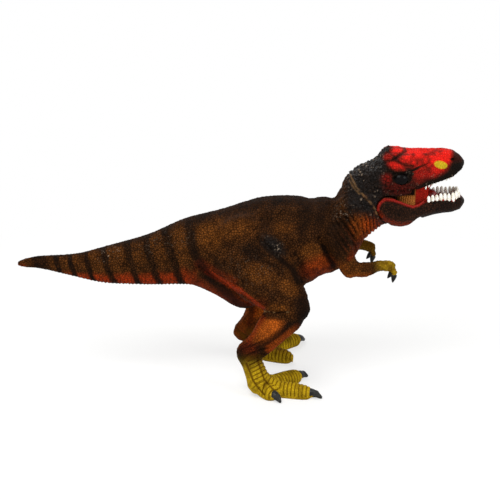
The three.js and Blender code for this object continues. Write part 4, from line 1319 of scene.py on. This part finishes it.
class FIGURE_OT_hide(bpy.types.Operator):
    """Makes the painted hide of the torso, limbs, tail and head"""

    bl_idname = "figure.hide"
    bl_label = "Hide"

    def execute(self, context):
        paints, sizes = context.scene.figure_paints, context.scene.figure_sizes
        nodes = ["tail", "head"]
        for _, name in SIDES:
            nodes += [f"torso_{name}_shell", f"{name}_thigh", f"{name}_lower_leg", f"{name}_arm"]
        mesh = outer_skin([cad_form(node, NODE_SWELL) for node in nodes] + head_clay(), sizes.voxel)
        skin = Skin(mesh)
        shape_hide(skin, sizes)
        paint_trunk(skin)
        paint_limbs(skin)
        paint_head(skin)
        skin.store()
        vinyl = painted_vinyl("Brush-painted vinyl hide", paints.hide, paints, sizes)
        tail = part_off(mesh, (TAIL_SEAM, 0, 0), (-1, 0, 0), everywhere)
        head = part_off(mesh, NECK_SEAM_POINT, NECK_SEAM_NORMAL, everywhere)
        halves = {"right": mesh, "left": part_off(mesh, (0, 0, 0), (0, 1, 0), everywhere)}
        dress(new_object("tail_hide", tail, vinyl), "figure", "body_skin", "tail")
        dress(new_object("head_hide", head, vinyl), "figure", "head_skin", "head")
        for name, half in halves.items():
            leg = part_off(half, (0, 0, KNEE_SEAM_HEIGHT), (0, 0, -1), below_knee)
            dress(new_object(f"{name}_leg_hide", leg, vinyl), "figure", "leg_skin", f"{name}_lower_leg")
            torso = new_object(f"torso_{name}_hide", half, vinyl)
            dress(torso, "figure", "body_skin", f"torso_{name}_shell", f"{name}_thigh", f"{name}_arm")
        return {"FINISHED"}


# Claws, jaw, teeth, tongue, eyes, cheeks and hinge pin


def claw_form(root, ahead, length, radius, hook):
    """A claw with a round root and a blunt point, bent down by the height of its hook."""
    steps = np.linspace(0, 1, 11)
    path = np.array([root + ahead * length * t + np.array((0, 0, 0.4 - hook * t**2)) for t in steps])
    return tube(path, radius * (1.02 - 0.8 * steps**1.7), sides=14)


class FIGURE_OT_claws(bpy.types.Operator):
    """Makes the grey claws of the toes and the black ones of the fingers"""

    bl_idname = "figure.claws"
    bl_label = "Claws"

    def execute(self, context):
        paints = context.scene.figure_paints
        horn = glossy_plastic(
            "Satin grey paint on vinyl claws",
            paints.claw,
            hex_colour("#1b1b1a"),
            grain_mm=2.5,
            rough=0.3,
            shine=0.12,
        )
        dark_horn = glossy_plastic(
            "Satin black paint on vinyl claws",
            hex_colour("#221f1c"),
            hex_colour("#0d0c0b"),
            grain_mm=2.0,
            rough=0.3,
            shine=0.12,
        )
        for side, name in SIDES:
            forms = []
            for heading, reach, length in TOES[side]:
                if length >= SHORTEST_CLAW:
                    ahead = level(math.radians(heading))
                    root = toe_line(side, heading, reach)[-1] + ahead * TOE_CLAW_ROOT
                    length += TOE_CLAW_EXTRA
                    forms.append(claw_form(root, ahead, length, TOE_CLAW_RADIUS, TOE_CLAW_HOOK))
            dress(new_object(f"{name}_toe_claws", joined(forms), horn), "figure", "leg_skin")
            forms = []
            for joint, ahead in fingers(side):
                root = joint + ahead * FINGER_CLAW_ROOT
                forms.append(claw_form(root, ahead, FINGER_CLAW_LENGTH, FINGER_CLAW_RADIUS, 0.0))
            dress(new_object(f"{name}_finger_claws", joined(forms), dark_horn), "figure", "body_skin")
        return {"FINISHED"}


def shape_jaw(skin):
    """Evens the jaw out, flares its lower edge and raises its lobes and lip."""
    skin.relax(18, 0.4)
    skin.relax(150, 0.5 * skin.spot(*JAW_CORNER))
    skin.stroke(JAW_GROOVE, 5.0, -0.5)
    flare = skin.band(JAW_FLARE, 2.4)
    skin.lift(0.8 * flare * skin.outward * fall(skin.flank[:, 0], 93, 12))
    skin.lift(skin.spot(*JAW_LOBE_TOP) * smooth(skin.normals[:, 2] / 0.4))
    skin.points[:, 2] += 1.1 * skin.band(JAW_LIP, 2.6) * rise(np.abs(skin.points[:, 1]), 4, 3)
    skin.settle()


def paint_jaw(skin):
    """Red rim with a painted highlight along its crest, red lining, red-orange fringe below and a dark chin.
    """
    x, y, z = skin.points.T
    mottle = clouds(skin.points, 2.2, 4)
    skin.lift(0.1 * (pebbles(skin.points, 1.4, 13) - 0.4))
    skin.settle()
    rim = flank_drawing(np.array(JAW_RIM)).tolist()
    skin.brush("mouth", 0.75 * skin.band(rim, 1.6) * skin.outward * (0.95 + 0.3 * mottle))
    # The brighter red down the middle of the rim is a painted highlight along its crest
    skin.brush("red", 0.35 * skin.band(rim, 1.0) * skin.outward)
    skin.brush("gloss", np.maximum(0.9 * skin.band(rim, 1.2), 0.3))
    skin.brush("belly", 0.6 * skin.band(JAW_FRINGE, 3.6) * (0.9 + 0.3 * mottle))
    inner = fall(np.sign(y) * skin.normals[:, 1], 0.1, 0.3)
    inner = inner * rise(skin.normals[:, 2], -0.6, 0.4)
    skin.brush("mouth", inner * rise(x, 84, 4) * rise(z, 17, 3))
    skin.brush("black", 0.45 * rise(x, 96, 8) * (1 - inner))


class FIGURE_OT_jaw(bpy.types.Operator):
    """Makes the hinged lower jaw"""

    bl_idname = "figure.jaw"
    bl_label = "Lower Jaw"

    def execute(self, context):
        paints, sizes = context.scene.figure_paints, context.scene.figure_sizes
        rope = tube(spaced(np.array(JAW_RIM), JAW_RIM_STEPS), np.full(JAW_RIM_STEPS, JAW_RIM_RADIUS))
        skin = Skin(outer_skin([cad_form("lower_jaw", 0.0), *mirrored(rope)], sizes.jaw_voxel))
        shape_jaw(skin)
        paint_jaw(skin)
        skin.store()
        vinyl = painted_vinyl("Brush-painted vinyl jaw", paints.jaw, paints, sizes)
        dress(new_object("lower_jaw_hide", skin.mesh, vinyl), "jaw", "jaw_skin", "lower_jaw")
        return {"FINISHED"}


def gum_line(node, upper):
    """The arch of a tooth strip, from its right rear end round the front to its left rear end."""
    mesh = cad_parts[node].data
    points = (np.array([v.co for v in mesh.vertices]) - HIP) / MM
    low_x, high_x = points[:, 0].min() + GUM_REAR_INSET, points[:, 0].max() - GUM_INSET
    rows = []
    for x in np.linspace(low_x, high_x, GUM_STATIONS):
        near = points[np.abs(points[:, 0] - x) < GUM_WINDOW]
        edge = np.abs(near[:, 1]).max() - GUM_INSET
        height = near[:, 2].max() - GUM_INSET if upper else near[:, 2].min() + GUM_INSET
        rows.append((x, edge, height))
    rows[-1] = (high_x, rows[-1][1] * GUM_FRONT_SHARE, rows[-1][2])
    right = [(x, -edge, height) for x, edge, height in rows]
    line = np.array(right + [(x, -y, height) for x, y, height in right[::-1]])
    if upper:
        line[:, 2] += UPPER_FRONT_RISE * (line[:, 0] - low_x) / (high_x - low_x)
    return line


def spaced(path, count):
    """Points at even spacing along a path, half a step in from its ends."""
    runs = np.linalg.norm(np.diff(path, axis=0), axis=1)
    walked = np.concatenate([[0], np.cumsum(runs)])
    places = (np.arange(count) + 0.5) / count * walked[-1]
    return np.stack([np.interp(places, walked, path[:, k]) for k in range(3)], axis=1)


def tooth_form(root, height, radius, lean):
    """A blunt, slightly curved peg of a tooth."""
    steps = np.array((-0.25, 0.0, 0.25, 0.5, 0.75, 0.92, 1.0))
    widths = np.array((0.9, 0.95, 1.02, 1.0, 0.88, 0.66, 0.4))
    path = np.array([root + np.array((lean * t * abs(t), 0, height * t)) for t in steps])
    return tube(path, radius * widths, sides=10)


class FIGURE_OT_teeth(bpy.types.Operator):
    """Makes both rows of teeth with their gums"""

    bl_idname = "figure.teeth"
    bl_label = "Teeth"

    def execute(self, context):
        paints, sizes = context.scene.figure_paints, context.scene.figure_sizes
        enamel = glossy_plastic(
            "White lacquer on vinyl teeth",
            paints.tooth,
            hex_colour("#d9d2c0"),
            grain_mm=1.8,
            rough=0.25,
            shine=0.3,
        )
        flesh = glossy_plastic(
            "Red lacquer on vinyl gums",
            paints.gum,
            hex_colour("#5c120d"),
            grain_mm=1.5,
            rough=0.3,
            shine=0.2,
        )
        for row in TOOTH_ROWS:
            upper = row.node == "upper_teeth"
            line = gum_line(row.node, upper)
            bed = spaced(line, GUM_STEPS) * (1, row.gum_narrowing, 1) + (0, 0, row.gum_shift)
            rope = tube(bed, np.full(GUM_STEPS, GUM_RADIUS), sides=10)
            dress(new_object(f"{row.node}_gum", joined([rope]), flesh), row.body, "teeth")
            roots = spaced(line, row.count) + (0, 0, row.root_shift)
            forward = (roots[:, 0] - roots[:, 0].min()) / np.ptp(roots[:, 0])
            if upper:
                heights = -sizes.upper_tooth / MM * (1.0 - 0.6 * forward)
            else:
                heights = sizes.lower_tooth / MM * (1.0 + 0.4 * forward**3)
            forms = [tooth_form(root, height, row.radius, row.lean) for root, height in zip(roots, heights)]
            dress(new_object(f"{row.node}_enamel", joined(forms), enamel), row.body, "teeth", row.node)
        return {"FINISHED"}


class FIGURE_OT_tongue(bpy.types.Operator):
    """Makes the grooved tongue"""

    bl_idname = "figure.tongue"
    bl_label = "Tongue"

    def execute(self, context):
        paints = context.scene.figure_paints
        forms = [cad_form("tongue", 0.0), blob(*TONGUE_ROOT)]
        skin = Skin(outer_skin(forms, TONGUE_VOXEL * MM))
        skin.relax(20, 0.4)
        top = smooth(skin.normals[:, 2] / 0.5)
        skin.lift(-0.6 * top * smooth(1 - np.abs(skin.points[:, 1]) / 1.3))
        skin.lift(0.12 * top * pebbles(skin.points, 1.1, 17))
        skin.settle()
        wet = glossy_plastic(
            "Red lacquer on vinyl tongue",
            paints.mouth,
            hex_colour("#5c120d"),
            grain_mm=2.0,
            rough=0.25,
            shine=0.25,
        )
        dress(new_object("tongue_flesh", skin.mesh, wet), "jaw", "tongue", "tongue")
        return {"FINISHED"}


class FIGURE_OT_eyes(bpy.types.Operator):
    """Makes the black eye beads"""

    bl_idname = "figure.eyes"
    bl_label = "Eyes"

    def execute(self, context):
        bead = glossy_plastic(
            "Black gloss lacquer eye",
            hex_colour("#0d0a0b"),
            hex_colour("#050404"),
            grain_mm=3.0,
            rough=0.2,
            shine=0.05,
        )
        for _, name in SIDES:
            low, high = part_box(f"{name}_eye")
            middle = (np.array((low + high) / 2) - HIP) / MM
            ball = blob(middle + EYE_SHIFT, EYE_RADII)
            dress(new_object(f"{name}_eye_bead", joined([ball]), bead), "figure", "eyes", f"{name}_eye")
        return {"FINISHED"}


def cheek_points(side):
    """Points of both faces of a ruffled sheet between the lip above and the jaw below, row by row."""
    along = np.tile(np.linspace(0, 1, CHEEK_COLUMNS), CHEEK_ROWS)
    down = np.repeat(np.linspace(0, 1, CHEEK_ROWS), CHEEK_COLUMNS)
    top_x, low_x = CHEEK_REAR + CHEEK_TOP_LENGTH * along, CHEEK_REAR + CHEEK_LOW_LENGTH * along
    top = np.stack([top_x, 13.0 - 2.6 * along, np.interp(along, *CHEEK_TOP_HEIGHTS)], axis=1)
    low = np.stack([low_x, 13.2 - 4.0 * along, np.interp(along, *CHEEK_LOW_HEIGHTS)], axis=1)
    ruffle = CHEEK_FOLD_DEPTH * np.sin(along * CHEEK_FOLDS * 2 * math.pi)
    ruffle = ruffle * (0.45 + 0.55 * down) * np.clip(3 - 4.6 * along, 0, 1)
    bow = np.sin(down * math.pi)
    sheet = top + (low - top) * down[:, None]
    sheet += np.stack([-2.2 * bow * along**3, ruffle - 0.7 * bow, np.zeros(len(bow))], axis=1)
    half = np.array((0.0, CHEEK_THICKNESS / 2, 0.0))
    return np.concatenate([sheet + half, sheet - half]) * (1, side, 1)


def cheek_faces():
    """Faces of the sheet's two sides and of its rim."""
    columns, rows = CHEEK_COLUMNS, CHEEK_ROWS
    grid = rows * columns
    faces = []
    for row in range(rows - 1):
        for column in range(columns - 1):
            a = row * columns + column
            quad = [a, a + 1, a + columns + 1, a + columns]
            faces.append(quad)
            faces.append([v + grid for v in quad[::-1]])
    rim = list(range(columns - 1))
    rim += [r * columns + columns - 1 for r in range(rows - 1)]
    rim += [(rows - 1) * columns + c for c in range(columns - 1, 0, -1)]
    rim += [r * columns for r in range(rows - 1, 0, -1)]
    for a, b in zip(rim, rim[1:] + rim[:1]):
        faces.append([b, a, a + grid, b + grid])
    return faces


def paint_cheek(skin):
    """Tan folds with painted shade in their creases, and a streaked dark red web in front of them with
    painted shade low at its front.
    """
    x, _, z = skin.points.T
    web = smooth(x - CHEEK_FRONT)
    lip = smooth(skin.flank[:, 1] - 28.2) * fall(x, 90.5, 1.5)
    streaks = rise(clouds(skin.points * (1.0, 1.0, 0.4), 1.6, 26), -0.2, 0.6)
    skin.brush("cheek", 0.9 * rise(x, 78.0, 5) * (1 - web) * (1 - lip))
    # Painted shade in the creases of the folds
    skin.brush("crack", 0.85 * skin.hollows(6, 0.16) * fall(x, 92, 2))
    skin.brush("crack", 0.45 * web * streaks)
    # Painted shade in the hollow at the mouth's corner
    skin.brush("crack", 0.7 * rise(x, 90, 3) * fall(z, 30.5, 5))
    skin.brush("black", 0.7 * lip)
    skin.brush("red", 0.4 * web * rise(z, 26, 6))
    skin.brush("mouth", 0.6 * web)


class FIGURE_OT_cheeks(bpy.types.Operator):
    """Makes the folded skin at the corners of the mouth"""

    bl_idname = "figure.cheeks"
    bl_label = "Cheeks"

    def execute(self, context):
        paints, sizes = context.scene.figure_paints, context.scene.figure_sizes
        vinyl = painted_vinyl("Brush-painted vinyl cheek fold", paints.jaw, paints, sizes)
        for side, name in SIDES:
            mesh = joined([(cheek_points(side), cheek_faces())])
            work = bmesh.new()
            work.from_mesh(mesh)
            bmesh.ops.recalc_face_normals(work, faces=work.faces)
            work.to_mesh(mesh)
            work.free()
            skin = Skin(mesh)
            paint_cheek(skin)
            skin.store()
            made = new_object(f"{name}_cheek_fold", mesh, vinyl)
            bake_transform(made)
        return {"FINISHED"}


class FIGURE_OT_pin(bpy.types.Operator):
    """Finishes the jaw's steel hinge pin"""

    bl_idname = "figure.pin"
    bl_label = "Hinge Pin"

    def execute(self, context):
        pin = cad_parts["jaw_hinge_pin"]
        pin.data.materials.clear()
        pin.data.materials.append(drawn_steel("Drawn steel wire"))
        return {"FINISHED"}


# Stage


def background_share(tree):
    """1 for rays that show the background and 0 for those that light the figure."""
    rays = add_node(tree, "ShaderNodeLightPath").outputs
    seen = calculated(tree, "ADD", rays["Is Camera Ray"], rays["Is Glossy Ray"])
    return calculated(tree, "ADD", seen, rays["Is Transmission Ray"], use_clamp=True)


def studio_paper(name, colour):
    """Matt white paper under the figure: it takes a soft shadow and is plain white further out."""
    made, tree, output = start_material(name)
    lit = add_node(tree, "ShaderNodeBsdfDiffuse", {"Color": solid(colour)}).outputs[0]
    glow = add_node(tree, "ShaderNodeEmission", {"Color": WHITE, "Strength": 1.0}).outputs[0]
    place = add_node(tree, "ShaderNodeTexCoord").outputs["Object"]
    away = add_node(tree, "ShaderNodeVectorMath", {0: place}, operation="LENGTH").outputs["Value"]
    fade = mapped(tree, away, SHADOW_REACH, (SHADOW_WHITENESS, 1.0))
    share = calculated(tree, "MULTIPLY", background_share(tree), fade)
    both = add_node(tree, "ShaderNodeMixShader", {0: share, 1: lit, 2: glow}).outputs[0]
    tree.links.new(both, output.inputs["Surface"])
    return made


def studio_world():
    """A white background that fills the shadows with a weaker light."""
    made = bpy.data.worlds.new("Studio")
    made.use_nodes = True
    tree = made.node_tree
    tree.nodes.clear()
    fill = add_node(tree, "ShaderNodeBackground", {"Color": WHITE, "Strength": FILL_LIGHT}).outputs[0]
    white = add_node(tree, "ShaderNodeBackground", {"Color": WHITE, "Strength": 1.0}).outputs[0]
    sky = add_node(tree, "ShaderNodeMixShader", {0: background_share(tree), 1: fill, 2: white}).outputs[0]
    add_node(tree, "ShaderNodeOutputWorld", {"Surface": sky})
    return made


def aim(name, data, place):
    """Links a lamp or camera at a place, aimed at the figure."""
    made = bpy.data.objects.new(name, data)
    made.location = place
    made.rotation_euler = (LOOK_AT - Vector(place)).to_track_quat("-Z", "Y").to_euler()
    bpy.context.scene.collection.objects.link(made)
    return made


class FIGURE_OT_stage(bpy.types.Operator):
    """Sets the floor, the soft studio light and the camera"""

    bl_idname = "figure.stage"
    bl_label = "Stage"

    def execute(self, context):
        scene = context.scene
        floor_mesh = bpy.data.meshes.new("studio_floor")
        work = bmesh.new()
        bmesh.ops.create_circle(work, cap_ends=True, segments=96, radius=FLOOR_RADIUS)
        work.to_mesh(floor_mesh)
        work.free()
        paper = studio_paper("Matt white studio paper", scene.figure_paints.floor)
        new_object("studio_floor", floor_mesh, paper)
        scene.world = studio_world()
        for name, place, size, power in SOFTBOXES:
            lamp = bpy.data.lights.new(name, "AREA")
            lamp.shape = "DISK"
            lamp.size = size
            lamp.energy = power
            aim(name, lamp, place)
        camera = bpy.data.cameras.new("camera")
        camera.lens = LENS_MM
        camera.clip_start, camera.clip_end = CLIP_RANGE
        back = Vector((0.0, -math.cos(SIGHT_ANGLE), math.sin(SIGHT_ANGLE)))
        scene.camera = aim("camera", camera, LOOK_AT + back * SIGHT_DISTANCE)
        scene.view_settings.view_transform = "Standard"
        return {"FINISHED"}


PIECES = (
    FIGURE_OT_stage,
    FIGURE_OT_hide,
    FIGURE_OT_claws,
    FIGURE_OT_jaw,
    FIGURE_OT_teeth,
    FIGURE_OT_tongue,
    FIGURE_OT_eyes,
    FIGURE_OT_cheeks,
    FIGURE_OT_pin,
)


class FIGURE_PT_panel(bpy.types.Panel):
    """Lists the figure's pieces, paints and sizes"""

    bl_idname = "FIGURE_PT_panel"
    bl_label = "Toy Tyrannosaur"
    bl_space_type = "VIEW_3D"
    bl_region_type = "UI"
    bl_category = "Tyrannosaur"

    def draw(self, context):
        for piece in PIECES:
            self.layout.operator(piece.bl_idname)
        for group in (context.scene.figure_sizes, context.scene.figure_paints):
            for name in group.__annotations__:
                self.layout.prop(group, name)


CLASSES = (FigurePaints, FigureSizes, *PIECES, FIGURE_PT_panel)


def register():
    """Registers the classes and the scene's settings."""
    for one in CLASSES:
        bpy.utils.register_class(one)
    bpy.types.Scene.figure_paints = PointerProperty(type=FigurePaints)
    bpy.types.Scene.figure_sizes = PointerProperty(type=FigureSizes)


def unregister():
    """Takes the settings and the classes away again."""
    del bpy.types.Scene.figure_sizes
    del bpy.types.Scene.figure_paints
    for one in reversed(CLASSES):
        bpy.utils.unregister_class(one)


def main():
    """Builds every piece."""
    register()
    for piece in PIECES:
        group, name = piece.bl_idname.split(".")
        getattr(getattr(bpy.ops, group), name)()


if __name__ == "__main__":
    main()
